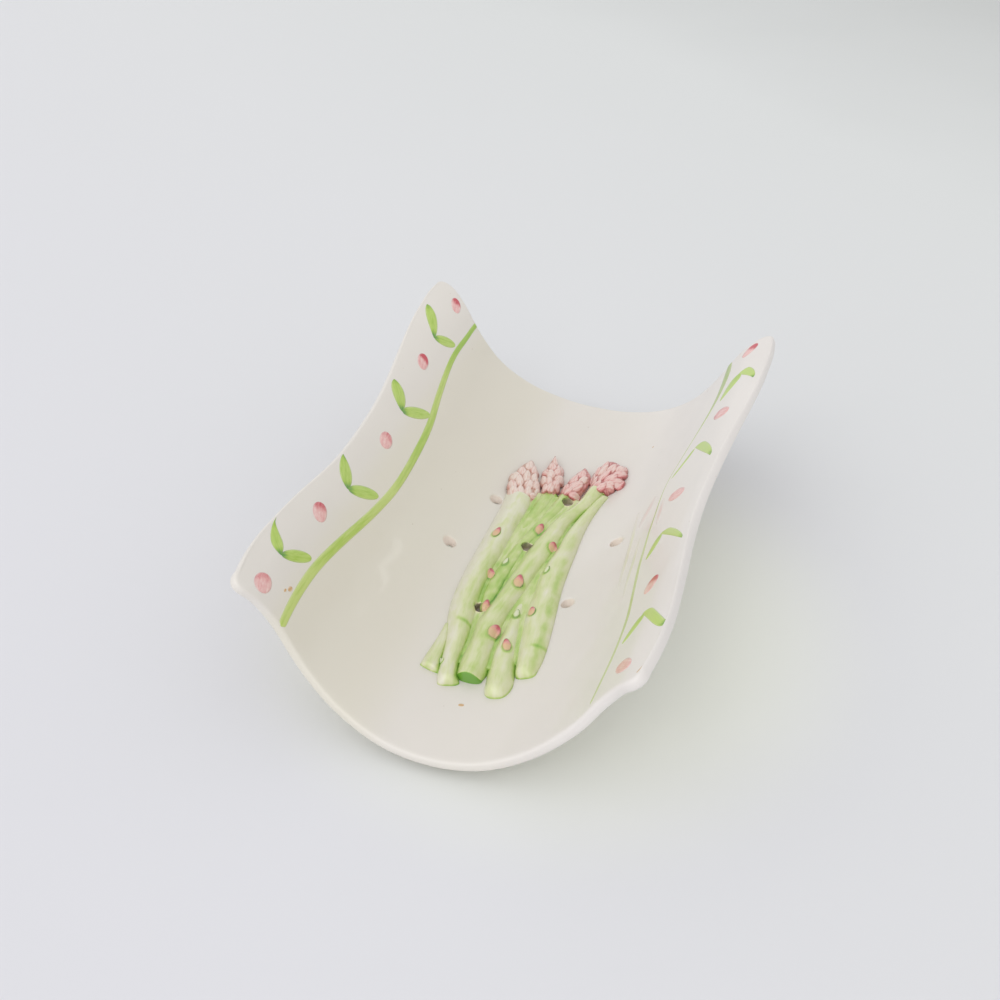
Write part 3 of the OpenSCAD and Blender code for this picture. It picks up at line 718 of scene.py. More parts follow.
# Pink glaze, brushed over the moulded scales: pale on their backs and a brick red where it
# gathered along their edges and between them, with thin red veins.
def brushed_pink_glaze():
    material, tree, shader = new_finish("brushed_pink_glaze", roughness=0.3, coat=0.7)
    grain, edge, tint = [
        add_node(tree, "ShaderNodeAttribute", {"attribute_name": mark_name}, {})
        for mark_name in ("grain", "edge", "tint")
    ]
    stretched = add_node(
        tree, "ShaderNodeMapping", {"Scale": (0.22, 1.0, 1.0)}, {"Vector": grain.outputs["Vector"]})
    vein = add_node(
        tree, "ShaderNodeTexNoise", {"Scale": per(1.0*MM), "Detail": 3.0},
        {"Vector": stretched.outputs["Vector"]})
    veined = add_node(
        tree, "ShaderNodeMath", {"operation": "MULTIPLY_ADD", 1: 2.2, 2: -0.95},
        {0: vein.outputs["Fac"]})
    deep = add_node(
        tree, "ShaderNodeMath", {"operation": "ADD"},
        {0: veined.outputs["Value"], 1: edge.outputs["Fac"]})
    pale = add_node(
        tree, "ShaderNodeValToRGB",
        {"stops": [(0.1, "#e6dad0"), (0.5, "#e0c7b8"), (1.0, "#c9a28c")]},
        {"Fac": deep.outputs["Value"]})
    full = add_node(
        tree, "ShaderNodeValToRGB",
        {"stops": [(0.1, "#e6c3bc"), (0.45, "#dca09b"), (0.75, "#cb7877"), (1.0, "#b86060")]},
        {"Fac": deep.outputs["Value"]})
    colour = add_node(
        tree, "ShaderNodeMix", {"data_type": "RGBA"},
        {
            MIX_SHARE: tint.outputs["Fac"], MIX_LOWER: pale.outputs["Color"],
            MIX_UPPER: full.outputs["Color"],
        })
    tree.links.new(colour.outputs[MIXED], shader.inputs["Base Color"])
    bump = add_node(
        tree, "ShaderNodeBump", {"Strength": 0.5, "Distance": 0.2*MM},
        {"Height": vein.outputs["Fac"]})
    tree.links.new(bump.outputs["Normal"], shader.inputs["Normal"])
    return material


# Pink glaze on a bract: a flesh tone with a dab of carmine at its point and a green rim, where
# the glaze of the spear runs under it; the rim is darker green on the bract's right side, a painted
# shadow, and darker below the bract than above it.
def dabbed_pink_glaze():
    material, tree, shader = new_finish("dabbed_pink_glaze", roughness=0.28, coat=0.7)
    grain, dab_way, edge, crease = [
        add_node(tree, "ShaderNodeAttribute", {"attribute_name": mark_name}, {})
        for mark_name in ("grain", "dab", "edge", "crease")
    ]
    blot = add_node(
        tree, "ShaderNodeTexNoise", {"Scale": per(1.6*MM), "Detail": 2.0},
        {"Vector": grain.outputs["Vector"]})
    wavering = add_node(
        tree, "ShaderNodeMath", {"operation": "MULTIPLY_ADD", 1: 0.5},
        {0: blot.outputs["Fac"], 2: dab_way.outputs["Fac"]})
    dab = add_node(
        tree, "ShaderNodeValToRGB",
        {"stops": [
            (0.0, "#dab78e"), (0.25, "#dfa88d"), (0.45, "#dc9c92"), (0.72, "#cf6a72"),
            (0.9, "#bf4a58"),
        ]},
        {"Fac": wavering.outputs["Value"]})
    # Painted shadow: the rim turns darker green on the bract's right side, and below it
    low_side = add_node(
        tree, "ShaderNodeMapRange", {"From Min": 0.0, "From Max": 0.9},
        {"Value": crease.outputs["Fac"]})
    green = add_node(
        tree, "ShaderNodeMix",
        {"data_type": "RGBA", MIX_LOWER: linear("#a5b268"), MIX_UPPER: linear("#5d8a33")},
        {MIX_SHARE: low_side.outputs["Result"]})
    ragged = add_node(
        tree, "ShaderNodeMath", {"operation": "MULTIPLY_ADD", 1: 0.25},
        {0: blot.outputs["Fac"], 2: edge.outputs["Fac"]})
    rim = add_node(
        tree, "ShaderNodeMapRange", {"From Min": 0.95, "From Max": 1.15},
        {"Value": ragged.outputs["Value"]})
    colour = add_node(
        tree, "ShaderNodeMix", {"data_type": "RGBA"},
        {
            MIX_SHARE: rim.outputs["Result"], MIX_LOWER: dab.outputs["Color"],
            MIX_UPPER: green.outputs[MIXED],
        })
    tree.links.new(colour.outputs[MIXED], shader.inputs["Base Color"])
    return material


# Pale glaze on a bract: almost the spear's own cream, with green run round its rim.
def rimmed_pale_glaze():
    material, tree, shader = new_finish("rimmed_pale_glaze", roughness=0.28, coat=0.7)
    grain, edge = [
        add_node(tree, "ShaderNodeAttribute", {"attribute_name": mark_name}, {})
        for mark_name in ("grain", "edge")
    ]
    blot = add_node(
        tree, "ShaderNodeTexNoise", {"Scale": per(1.4*MM), "Detail": 2.0},
        {"Vector": grain.outputs["Vector"]})
    run = add_node(
        tree, "ShaderNodeMath", {"operation": "MULTIPLY_ADD", 1: 0.35},
        {0: blot.outputs["Fac"], 2: edge.outputs["Fac"]})
    colour = add_node(
        tree, "ShaderNodeValToRGB",
        {"stops": [(0.6, "#dadebf"), (0.9, "#c9d69e"), (1.0, "#86a853")]},
        {"Fac": run.outputs["Value"]})
    tree.links.new(colour.outputs["Color"], shader.inputs["Base Color"])
    return material


# Overglaze enamel, laid with a loaded brush: each mark has the brush's streaks along it, is
# fuller where the brush left its drop, and thins towards its rim, where the white shows through.
def brushed_enamel(name, thin, middle, full, streak_width, drag, rim_share):
    material, tree, shader = new_finish(name, roughness=0.3, coat=0.5)
    grain, load, edge = [
        add_node(tree, "ShaderNodeAttribute", {"attribute_name": mark_name}, {})
        for mark_name in ("grain", "load", "edge")
    ]
    stretched = add_node(
        tree, "ShaderNodeMapping", {"Scale": (drag, 1.0, 1.0)}, {"Vector": grain.outputs["Vector"]})
    streak = add_node(
        tree, "ShaderNodeTexNoise", {"Scale": per(streak_width), "Detail": 3.0, "Roughness": 0.65},
        {"Vector": stretched.outputs["Vector"]})
    depth = add_node(
        tree, "ShaderNodeMath", {"operation": "MULTIPLY_ADD", 1: 0.9},
        {0: streak.outputs["Fac"], 2: load.outputs["Fac"]})
    body = add_node(
        tree, "ShaderNodeValToRGB",
        {"stops": [(0.30, thin), (0.55, middle), (0.95, full)]},
        {"Fac": depth.outputs["Value"]})
    rim = add_node(
        tree, "ShaderNodeMapRange",
        {"From Min": 0.7, "From Max": 1.0, "To Max": rim_share},
        {"Value": edge.outputs["Fac"]})
    colour = add_node(
        tree, "ShaderNodeMix", {"data_type": "RGBA", MIX_UPPER: linear("#ded8d3")},
        {MIX_SHARE: rim.outputs["Result"], MIX_LOWER: body.outputs["Color"]})
    tree.links.new(colour.outputs[MIXED], shader.inputs["Base Color"])
    return material


# Iron specks that came up through the glaze: small brown dots, darker in their middle.
def iron_speck():
    material, tree, shader = new_finish("iron_speck", roughness=0.35, coat=0.5)
    edge = add_node(tree, "ShaderNodeAttribute", {"attribute_name": "edge"}, {})
    colour = add_node(
        tree, "ShaderNodeValToRGB",
        {"stops": [(0.1, "#c49c6c"), (0.6, "#d6b892"), (1.0, "#dfd7cb")]},
        {"Fac": edge.outputs["Fac"]})
    tree.links.new(colour.outputs["Color"], shader.inputs["Base Color"])
    return material


BOARD_WIDTH = 8.0
# Way in which the board darkens, a painted shade of the light falling off far to the right
PAINTED_FALLOFF_WAY = (0.6, 0.8, 0)
# Painted light round the plate, paler and greener, lifting its shadow: its middle, how far it
# reaches and where it is full
SHADOW_LIFT_SPOT = (30*MM, -30*MM, 0)
SHADOW_LIFT_REACH = 190*MM
SHADOW_LIFT_HEART = 90*MM


# The table: a matt painted board, cool and pale, with painted shade darkening it far to the right,
# and painted light that turns it paler and greener round the plate, lifting the plate's shadow.
def matt_board():
    material = bpy.data.materials.new("matt_board")
    material.use_nodes = True
    tree = material.node_tree
    shader = tree.nodes["Principled BSDF"]
    shader.inputs["Roughness"].default_value = 0.9
    shader.inputs["Specular IOR Level"].default_value = 0.1
    where = add_node(tree, "ShaderNodeTexCoord", {}, {})
    # Painted shade: the board darkens far to the right, as the light falls off
    away = add_node(
        tree, "ShaderNodeVectorMath", {"operation": "DOT_PRODUCT", 1: PAINTED_FALLOFF_WAY},
        {0: where.outputs["Object"]})
    cloud = add_node(
        tree, "ShaderNodeTexNoise", {"Scale": per(300*MM), "Detail": 2.0},
        {"Vector": where.outputs["Object"]})
    uneven = add_node(
        tree, "ShaderNodeMath", {"operation": "MULTIPLY_ADD", 1: 0.2},
        {0: cloud.outputs["Fac"], 2: away.outputs["Value"]})
    share = add_node(
        tree, "ShaderNodeMapRange", {"From Min": -0.2, "From Max": 1.4},
        {"Value": uneven.outputs["Value"]})
    paint_and_falloff = add_node(
        tree, "ShaderNodeValToRGB",
        {"stops": [(0.0, "#dfdfe4"), (0.3, "#dddee0"), (0.6, "#d9dbdb"), (1.0, "#c4c6c5")]},
        {"Fac": share.outputs["Result"]})
    # Painted light: a paler, greener board round the plate, which lifts the plate's shadow
    from_spot = add_node(
        tree, "ShaderNodeVectorMath", {"operation": "DISTANCE", 1: SHADOW_LIFT_SPOT},
        {0: where.outputs["Object"]})
    shadow_lift = add_node(
        tree, "ShaderNodeMapRange",
        {
            "interpolation_type": "SMOOTHSTEP", "From Min": SHADOW_LIFT_REACH,
            "From Max": SHADOW_LIFT_HEART,
        },
        {"Value": from_spot.outputs["Value"]})
    colour = add_node(
        tree, "ShaderNodeMix", {"data_type": "RGBA", MIX_UPPER: linear("#e9ebe3")},
        {MIX_SHARE: shadow_lift.outputs["Result"], MIX_LOWER: paint_and_falloff.outputs["Color"]})
    tree.links.new(colour.outputs[MIXED], shader.inputs["Base Color"])
    return material


# Steps of the dish's mesh
CORNER_STEPS = 10
ACROSS_STEPS = 96
ALONG_STEPS = 112
LIP_STEPS = 10
# Half the cells that a drain hole's rings take from the mesh
BORE_CELLS = 3
# How much narrower a drain hole is at its foot, where the drill's point came out
DRAIN_TAPER = 1.4*MM
# Rings of a drain hole's rounded mouth: how far each lies beyond the hole's radius, and how deep
MOUTH = [(1.6*MM, 0), (0.9*MM, 0.08*MM), (0.4*MM, 0.35*MM), (0.1*MM, 0.9*MM), (0, 1.7*MM)]
# How far beyond its wall the painted light that pales a drain hole fades out
HOLE_LIGHT_FADE = 0.7*MM


def sheet_columns():
    """Across shares of the dish's mesh, closer together at the rounded corners."""
    turns = np.linspace(0, math.pi/2, CORNER_STEPS + 1)[:-1]
    corner = CORNER_RADIUS/CORNER_ARC*(1 - np.cos(turns))
    middle = np.linspace(-1, 1, ACROSS_STEPS + 1)*(1 - CORNER_RADIUS/CORNER_ARC)
    return np.concatenate([corner - 1, middle, 1 - corner[::-1]])


def lip_ring(u, v, turn):
    """Points of the rounded lip, turned from the inner face to the outer one."""
    inset = (1 - np.abs(u))*CORNER_ARC
    bend = np.where(
        np.abs(v) < 1, 0,
        np.arccos(np.clip((CORNER_RADIUS - inset)/CORNER_RADIUS, 0, 1)))
    ends = np.stack([np.zeros_like(v), np.sign(v), np.zeros_like(v)], axis=-1)
    way = np.cos(bend)[:, None]*outward(u, v) + np.sin(bend)[:, None]*ends
    height = math.copysign(abs(math.cos(turn))**(2/LIP_POWER), math.cos(turn))
    reach = (LIP_SIDE_REACH + (LIP_REACH - LIP_SIDE_REACH)*np.sin(bend))[:, None]
    reach = reach*math.sin(turn)**(2/LIP_POWER)
    return place(u, v, -WALL_THICKNESS/2*(1 - height)) + reach*way


def nearest_point(layer_points, stride, centre):
    """Row and column of the mesh point nearest to a hole's middle."""
    gap = np.hypot(layer_points[:, 0] - centre[0], layer_points[:, 1] - centre[1])
    return divmod(int(gap.argmin()), stride)


def block_loop(row, column, stride, first):
    """Indices round the block of cells that a hole takes from a layer."""
    size = 2*BORE_CELLS
    inner = edge_loop(size, size, 0)
    rows, columns = np.divmod(inner, size + 1)
    return first + (rows + row - BORE_CELLS)*stride + columns + column - BORE_CELLS


def without_block(faces, row, column, stride, first):
    """A layer's quads without the block of cells that a hole takes."""
    cell_row, cell_column = np.divmod(faces.min(axis=1) - first, stride)
    inside = (cell_row >= row - BORE_CELLS) & (cell_row < row + BORE_CELLS)
    inside &= (cell_column >= column - BORE_CELLS) & (cell_column < column + BORE_CELLS)
    return faces[~inside]


def bore_share(points):
    """How much a point lies in a drain hole: 1 in it, 0 beyond its mouth."""
    gaps = []
    for share_u, share_v in DRAINS:
        centre = place(share_u, share_v, 0.0)
        gaps.append(np.hypot(points[:, 0] - centre[0], points[:, 1] - centre[1]) - DRAIN_RADIUS)
    return smooth_step(HOLE_LIGHT_FADE, 0, np.min(gaps, axis=0))


def bore_ring(loop_points, centre, beyond, lift):
    """A round ring about a hole's middle, with its points in line with the block's."""
    turn = np.arctan2(loop_points[:, 1] - centre[1], loop_points[:, 0] - centre[0])
    x = centre[0] + (DRAIN_RADIUS + beyond)*np.cos(turn)
    y = centre[1] + (DRAIN_RADIUS + beyond)*np.sin(turn)
    u, v = under(x, y, lift)
    return place(u, v, lift)


# Where the white glaze turns creamy: how far left of the centre line it is full, the heights
# between which it fades up the left wall, and the places between which it fades to the right
CREAM_LEFT = 48*MM
CREAM_HEIGHTS = (76*MM, 60*MM)
CREAM_RIGHT = (75*MM, 15*MM)


def creaminess(points):
    """How creamy the white glaze is: a little on the floor, more up the left bend."""
    to_left = smooth_step(0, CREAM_LEFT, -points[:, 0])
    low = smooth_step(*CREAM_HEIGHTS, points[:, 2])
    to_middle = smooth_step(*CREAM_RIGHT, points[:, 0])
    return np.maximum(0.35*to_middle, to_left*(0.3 + 0.7*low))


def bore_steps():
    """How far each ring of a drain hole lies beyond its radius, and its lift, from the top down."""
    mouth = [(beyond, -depth) for beyond, depth in MOUTH]
    foot = [(beyond - DRAIN_TAPER, depth - WALL_THICKNESS) for beyond, depth in reversed(MOUTH)]
    return mouth + foot


def build_dish(finish):
    """The bent sheet with its rounded lip and its seven drain holes."""
    columns = sheet_columns()
    rows = np.linspace(-1, 1, ALONG_STEPS + 1)
    row_count = len(rows) - 1
    column_count = len(columns) - 1
    stride = column_count + 1
    v, u = np.meshgrid(rows, columns, indexing="ij")
    inner = place(u, v, 0.0).reshape(-1, 3)
    outer = place(u, v, -WALL_THICKNESS).reshape(-1, 3)
    layer = len(inner)
    points = [inner, outer]
    count = 2*layer
    inner_faces = grid_faces(row_count, column_count, 0, True)
    outer_faces = grid_faces(row_count, column_count, layer, False)
    loop = edge_loop(row_count, column_count, 0)
    edge_u = u.ravel()[loop]
    edge_v = v.ravel()[loop]
    ring = loop
    rings = []
    for k in range(1, LIP_STEPS):
        points.append(lip_ring(edge_u, edge_v, math.pi*k/LIP_STEPS))
        following = count + np.arange(len(loop))
        rings.append(ring_faces(following, ring))
        ring = following
        count += len(loop)
    rings.append(ring_faces(loop + layer, ring))
    for share_u, share_v in DRAINS:
        centre = place(share_u, share_v, 0.0)
        top_row, top_column = nearest_point(inner, stride, centre)
        low_row, low_column = nearest_point(outer, stride, centre)
        inner_faces = without_block(inner_faces, top_row, top_column, stride, 0)
        outer_faces = without_block(outer_faces, low_row, low_column, stride, layer)
        ring = block_loop(top_row, top_column, stride, 0)
        loop_points = inner[ring]
        for beyond, lift in bore_steps():
            points.append(bore_ring(loop_points, centre, beyond, lift))
            following = count + np.arange(len(ring))
            rings.append(ring_faces(ring, following))
            ring = following
            count += len(ring)
        rings.append(ring_faces(ring, block_loop(low_row, low_column, stride, layer)))
    faces = np.concatenate([inner_faces, outer_faces] + rings)
    used, faces = np.unique(faces, return_inverse=True)
    points = np.concatenate(points)[used]
    dish = add_piece("dish_shell", points, faces.reshape(-1, 4), finish, ["dish"])
    mark(dish, "warm", creaminess(points))
    mark(dish, "bore", bore_share(points))
    smoother = dish.modifiers.new("smooth", "SUBSURF")
    smoother.levels = 1
    smoother.render_levels = 1
    return dish


FOOT_SIDES = 48
# Rings of a foot: radius beyond the foot's own, and share of the way from the table to the dish
FOOT_STEPS = [
    (-6.5*MM, 0.06), (-3*MM, 0.05), (-2.4*MM, 0.02), (-1.8*MM, 0), (-1.0*MM, 0),
    (-0.4*MM, 0.04), (0, 0.12), (0, 0.4), (-0.2*MM, 0.6), (0.1*MM, 0.8),
    (0.8*MM, 0.93), (2*MM, 1.0), (2.2*MM, 1.03), (0, 1.1),
]


def build_foot(name, side, end, finish, node):
    """A low round foot, turned in at its tread and spread where it meets the dish."""
    middle = place(side*FOOT_ACROSS_SHARE, end*FOOT_ALONG_SHARE, 0.0)
    turns = np.linspace(0, 2*math.pi, FOOT_SIDES + 1)[:-1]
    rings = []
    for beyond, share in FOOT_STEPS:
        x = middle[0] + (FOOT_RADIUS + beyond)*np.cos(turns)
        y = middle[1] + (FOOT_RADIUS + beyond)*np.sin(turns)
        u, v = under(x, y, -WALL_THICKNESS)
        z = place(u, v, -WALL_THICKNESS)[:, 2]*share
        rings.append(np.stack([x, y, z], axis=-1))
    points = np.concatenate(rings)
    index = np.arange(len(points)).reshape(len(rings), FOOT_SIDES)
    quads = [ring_faces(index[k + 1], index[k]) for k in range(len(rings) - 1)]
    faces = np.concatenate(quads + [cap_faces(index[0][::-1]), cap_faces(index[-1])])
    return add_piece(name, points, faces, finish, [node])


# Steps of a spear's mesh
SPEAR_ROWS = 200
SPEAR_COLUMNS = 28
END_ROWS = 10
# How far a spear's far end slopes down, and how far in its butt's shape dies out
FAR_SLOPE = 2*MM
SETTLE = 18*MM
# How far a spear's ends reach into the dish, how much deeper its underside lies, and how far it
# reaches under its neighbours
SPEAR_ROOT = 0.4*MM
SPEAR_KEEL = 0.2*MM
SPEAR_OVERLAP = 0.3*MM


def build_spear(k, finish):
    """A half-round spear with a butt that slopes down to its rounded end."""
    table = SPEARS[k]
    slope = BUTTS[k][0]
    unit = BUNDLE_LENGTH/2
    length = (table[-1, 0] - table[0, 0])*unit
    turns = np.linspace(0, math.pi/2, END_ROWS + 1)
    middle = np.linspace(slope, length - FAR_SLOPE, SPEAR_ROWS + 1)[1:-1]
    way = np.concatenate([
        slope*(1 - np.cos(turns)), middle, length - FAR_SLOPE*(1 - np.cos(turns[::-1]))])[:, None]
    share = np.concatenate([np.sin(turns), np.ones_like(middle), np.sin(turns[::-1])])[:, None]
    b = table[0, 0] + way/unit
    wide = SPEAR_OVERLAP/(BUNDLE_WIDTH/2)
    low = follow(table, 1, b) - wide
    high = follow(table, 2, b) + wide
    x = -np.cos(np.linspace(0, math.pi, SPEAR_COLUMNS + 1))[None, :]
    a = (low + high)/2 + (high - low)/2*x
    top = spear_top(k, b, (low + high)/2 + (high - low - 2*wide)/2*x)
    top = top*share - SPEAR_ROOT*(1 - share)
    b = b + np.clip(1 - way/SETTLE, 0, 1)**2*butt_line(k, x)/unit
    points, faces = closed_sheet(
        bundle_place(b, a, top), bundle_place(b, a, -SPEAR_ROOT - SPEAR_KEEL))
    name = SPEAR_NAMES[k]
    return add_piece(name + "_spear_cast", points, faces, finish, [name + "_spear"])


# Steps of the mesh of the glaze between the spears
GROOVE_ROWS = 89
GROOVE_COLUMNS = 40
# How high that glaze fills the grooves, how deep it reaches into the dish, and how level it lies
GROOVE_LIFT = 3.3*MM
GROOVE_ROOT = 0.5*MM
GROOVE_POWER = 8


def build_groove_floor(finish):
    """Glaze lying between the spears."""
    b = np.linspace(GROOVE_FLOOR[0, 0], GROOVE_FLOOR[-1, 0], GROOVE_ROWS + 1)[:, None]
    low = follow(GROOVE_FLOOR, 1, b)
    high = follow(GROOVE_FLOOR, 2, b)
    x = np.linspace(-1, 1, GROOVE_COLUMNS + 1)[None, :]
    a = (low + high)/2 + (high - low)/2*x
    b = np.broadcast_to(b, a.shape)
    lift = GROOVE_LIFT*(1 - x**GROOVE_POWER)*np.ones_like(a)
    points, faces = closed_sheet(bundle_place(b, a, lift), bundle_place(b, a, -GROOVE_ROOT))
    return add_piece("groove_glaze", points, faces, finish, [])


ROD_SIDES = 40
# A rod's radius under the sheet and over the spears, as shares of a drain hole's
ROD_FOOT_SHARE = 0.9
ROD_HEAD_SHARE = 1.15


def bore_cutter():
    """Upright rods through the drain holes, a little wider towards their tops."""
    bodies = []
    turns = np.linspace(0, 2*math.pi, ROD_SIDES + 1)[:-1]
    ring = np.stack([DRAIN_RADIUS*np.cos(turns), DRAIN_RADIUS*np.sin(turns), 0*turns], axis=-1)
    foot = np.arange(ROD_SIDES)
    head = foot + ROD_SIDES
    faces = np.concatenate([ring_faces(foot, head), cap_faces(foot[::-1]), cap_faces(head)])
    for share_u, share_v in DRAINS:
        centre = place(share_u, share_v, 0.0)
        low = ROD_FOOT_SHARE*ring + centre - np.array([0, 0, WALL_THICKNESS])
        high = ROD_HEAD_SHARE*ring + centre + np.array([0, 0, 2*WALL_THICKNESS])
        bodies.append((np.concatenate([low, high]), faces))
    points, faces = gather(bodies)
    mesh = bpy.data.meshes.new("drain_rods")
    mesh.from_pydata(points.tolist(), [], faces.tolist())
    cutter = bpy.data.objects.new("drain_rods", mesh)
    bpy.context.scene.collection.objects.link(cutter)
    return cutter


# Edges that turn by more than this stay crisp on a cut piece
CRISP_TURN = math.radians(50)


def open_drains(pieces, cutter):
    """Cuts the drain holes through pieces, and leaves them as plain meshes."""
    for piece in pieces:
        cut = piece.modifiers.new("drains", "BOOLEAN")
        cut.operation = "DIFFERENCE"
        cut.solver = "MANIFOLD"
        cut.object = cutter
    graph = bpy.context.evaluated_depsgraph_get()
    for piece in pieces:
        cut_mesh = bpy.data.meshes.new_from_object(piece.evaluated_get(graph))
        piece.modifiers.clear()
        piece.data = cut_mesh
        piece.data.set_sharp_from_angle(angle=CRISP_TURN)


def oval_shares(oval, x, y):
    """Bundle shares of a place x across and y along a scale or a bract, from its middle."""
    b, a, degrees = oval[:3]
    turn = math.radians(degrees)
    return (
        b + (y*math.cos(turn) - x*math.sin(turn))/(BUNDLE_LENGTH/2),
        a + (x*math.cos(turn) + y*math.sin(turn))/(BUNDLE_WIDTH/2),
    )


def bract_reach(b, a, bract):
    """Places of bundle points in a bract's own oval, and how far out they lie, 1 at its rim."""
    b_middle, a_middle, degrees, length, width = bract
    turn = math.radians(degrees)
    y = (b - b_middle)*BUNDLE_LENGTH/2
    x = (a - a_middle)*BUNDLE_WIDTH/2
    along = (x*math.sin(turn) + y*math.cos(turn))/(length/2*MM)
    across = (x*math.cos(turn) - y*math.sin(turn))/(width/2*MM)
    pointed = np.abs(across)/np.clip(1 - 0.35*np.clip(along, 0, 1), 0.3, 1)
    return along, across, (np.abs(along)**2.2 + pointed**2)**0.5


# Pools in the grooves: how far off a point looks for the groove's sides, the depths at which the
# pool starts and is full, and the colour that it adds
GROOVE_POOLS = [(1.5*MM, 0.1*MM, 1.2*MM, 0.26), (3.2*MM, -0.6*MM, 1.6*MM, 0.20)]
# Colour that glaze adds where it gathers below a bract, in a drain hole and between the spears
BRACT_POOL = 0.34
BORE_POOL = 0.2
FLOOR_POOL = 0.1
# How much painted light pales a drain hole's wall in a spear, and the heights between which it
# fades
HOLE_LIGHT_SHARE = 0.9
HOLE_LIGHT_TOP = 5.2*MM
HOLE_LIGHT_FOOT = 3.4*MM
# Ways in from the crossing spear's cut end, and from the other spears' butts, and heights at the
# butts, between which the dark glaze there dies out
CUT_EDGE = (2.6*MM, 1.2*MM)
BUTT_EDGE = (3*MM, 0.5*MM)
BUTT_FOOT = (1.4*MM, 0.3*MM)
# Dark lines across the left and the right spear: along shares of their places, and their width
LEFT_NICK = -0.59
RIGHT_NICK = -0.695
NICK_WIDTH = 0.012
# How far apart the spears lie in the pattern of their streaks, in metres
GRAIN_SHIFT = 0.3


def glaze_depth(piece):
    """Bundle shares and lift of a piece's points, and how deep green glaze lies on them."""
    points = points_of(piece)
    u, v, lift = unroll(points)
    b, a = bundle_shares(u, v)
    pool = np.zeros_like(b)
    for reach, shallow, deep, colour in GROOVE_POOLS:
        pool += colour*smooth_step(shallow, deep, groove_depth(b, a, lift, reach))
    for bract in PINK_BRACTS + GREEN_BRACTS:
        along, across, reach = bract_reach(b, a, bract)
        low_side = smooth_step(0.7, -0.4, along)
        pool += BRACT_POOL*np.exp(-(np.maximum(reach - 1.05, 0)/0.3)**2)*low_side
    bore = bore_share(points)
    # Painted light on the lower walls of the drain holes
    mark(piece, "bore", HOLE_LIGHT_SHARE*bore*smooth_step(HOLE_LIGHT_TOP, HOLE_LIGHT_FOOT, lift))
    return b, a, lift, pool + BORE_POOL*bore


def paint_groove_floor(piece):
    """Sets how deep the green glaze lies between the spears, and its grain."""
    b, a, lift, pool = glaze_depth(piece)
    mark(piece, "pool", pool + FLOOR_POOL)
    mark_grain(piece, b*BUNDLE_LENGTH/2, a*BUNDLE_WIDTH/2)


def paint_spear(piece, k):
    """Sets how deep green a spear is, from pooled glaze and from painted shade, and its grain."""
    b, a, lift, pool = glaze_depth(piece)
    low = follow(SPEARS[k], 1, b)
    high = follow(SPEARS[k], 2, b)
    side = np.clip((2*a - low - high)/(high - low), -1, 1)
    way = (b - SPEARS[k][0, 0])*BUNDLE_LENGTH/2 - butt_line(k, side)
    height = lift/spear_top(k, b, a)
    name = SPEAR_NAMES[k]
    if name == "left":
        pool -= 0.14*smooth_step(0.2, -0.7, side) + 0.14*smooth_step(-0.3, 0.4, b)
        pool += 0.10*smooth_step(0.2, 0.8, side)
        pool += 0.3*np.exp(-((b - LEFT_NICK)/NICK_WIDTH)**2)*smooth_step(-0.6, -0.2, side)
    # Painted shade: the two middle spears are a deeper green, as in the shade of the bundle's
    # middle
    if name in ("second", "third"):
        pool += 0.22
    if name == "crossing":
        pool += 0.05 + 0.8*smooth_step(*CUT_EDGE, way)*smooth_step(1.0, 0.86, height)
    else:
        pool += 0.3*smooth_step(*BUTT_FOOT, lift)*smooth_step(*BUTT_EDGE, way)
    if name == "right":
        pool += 0.22*np.exp(-((side - 0.72)/0.2)**2)*smooth_step(0.2, -0.3, b)
        pool += 0.3*np.exp(-((b - RIGHT_NICK)/NICK_WIDTH)**2)*smooth_step(0.0, 0.5, side)
    mark(piece, "pool", pool)
    middle = (low + high)/2*BUNDLE_WIDTH/2
    mark_grain(piece, b*BUNDLE_LENGTH/2 + GRAIN_SHIFT*k, a*BUNDLE_WIDTH/2 - middle)


def tip_top(table, b, a):
    """Height of a tip's body over the floor."""
    low = follow(table, 1, b)
    high = follow(table, 2, b)
    x = (2*a - low - high)/(high - low)
    t = np.clip((b - table[0, 0])/(table[-1, 0] - table[0, 0]), 0, 1)
    dome = np.sqrt(np.clip(1 - x*x, 0, 1))
    return SPEAR_EDGE + TIP_CROWN*dome*(0.6 + 0.4*np.cos(math.pi/2*t))


# Steps of the meshes of a scale and of the body under the scales
SCALE_ROWS = 12
SCALE_COLUMNS = 10
TIP_ROWS = 30
TIP_COLUMNS = 20
# How far a scale's point stands out over its tip, how domed it is, how much higher the foremost
# scale lies than the last one, and how thick a scale is
SCALE_RISE = 0.9*MM
SCALE_DOME = 0.7*MM
SCALE_STEP = 0.25*MM
SCALE_THICKNESS = 1.4*MM
# How much the scales overlap, and how much narrower the body under them is
SCALE_GROWTH = 1.12
TIP_WAIST = 0.9
# How far a tip reaches into the dish
TIP_ROOT = 0.4*MM


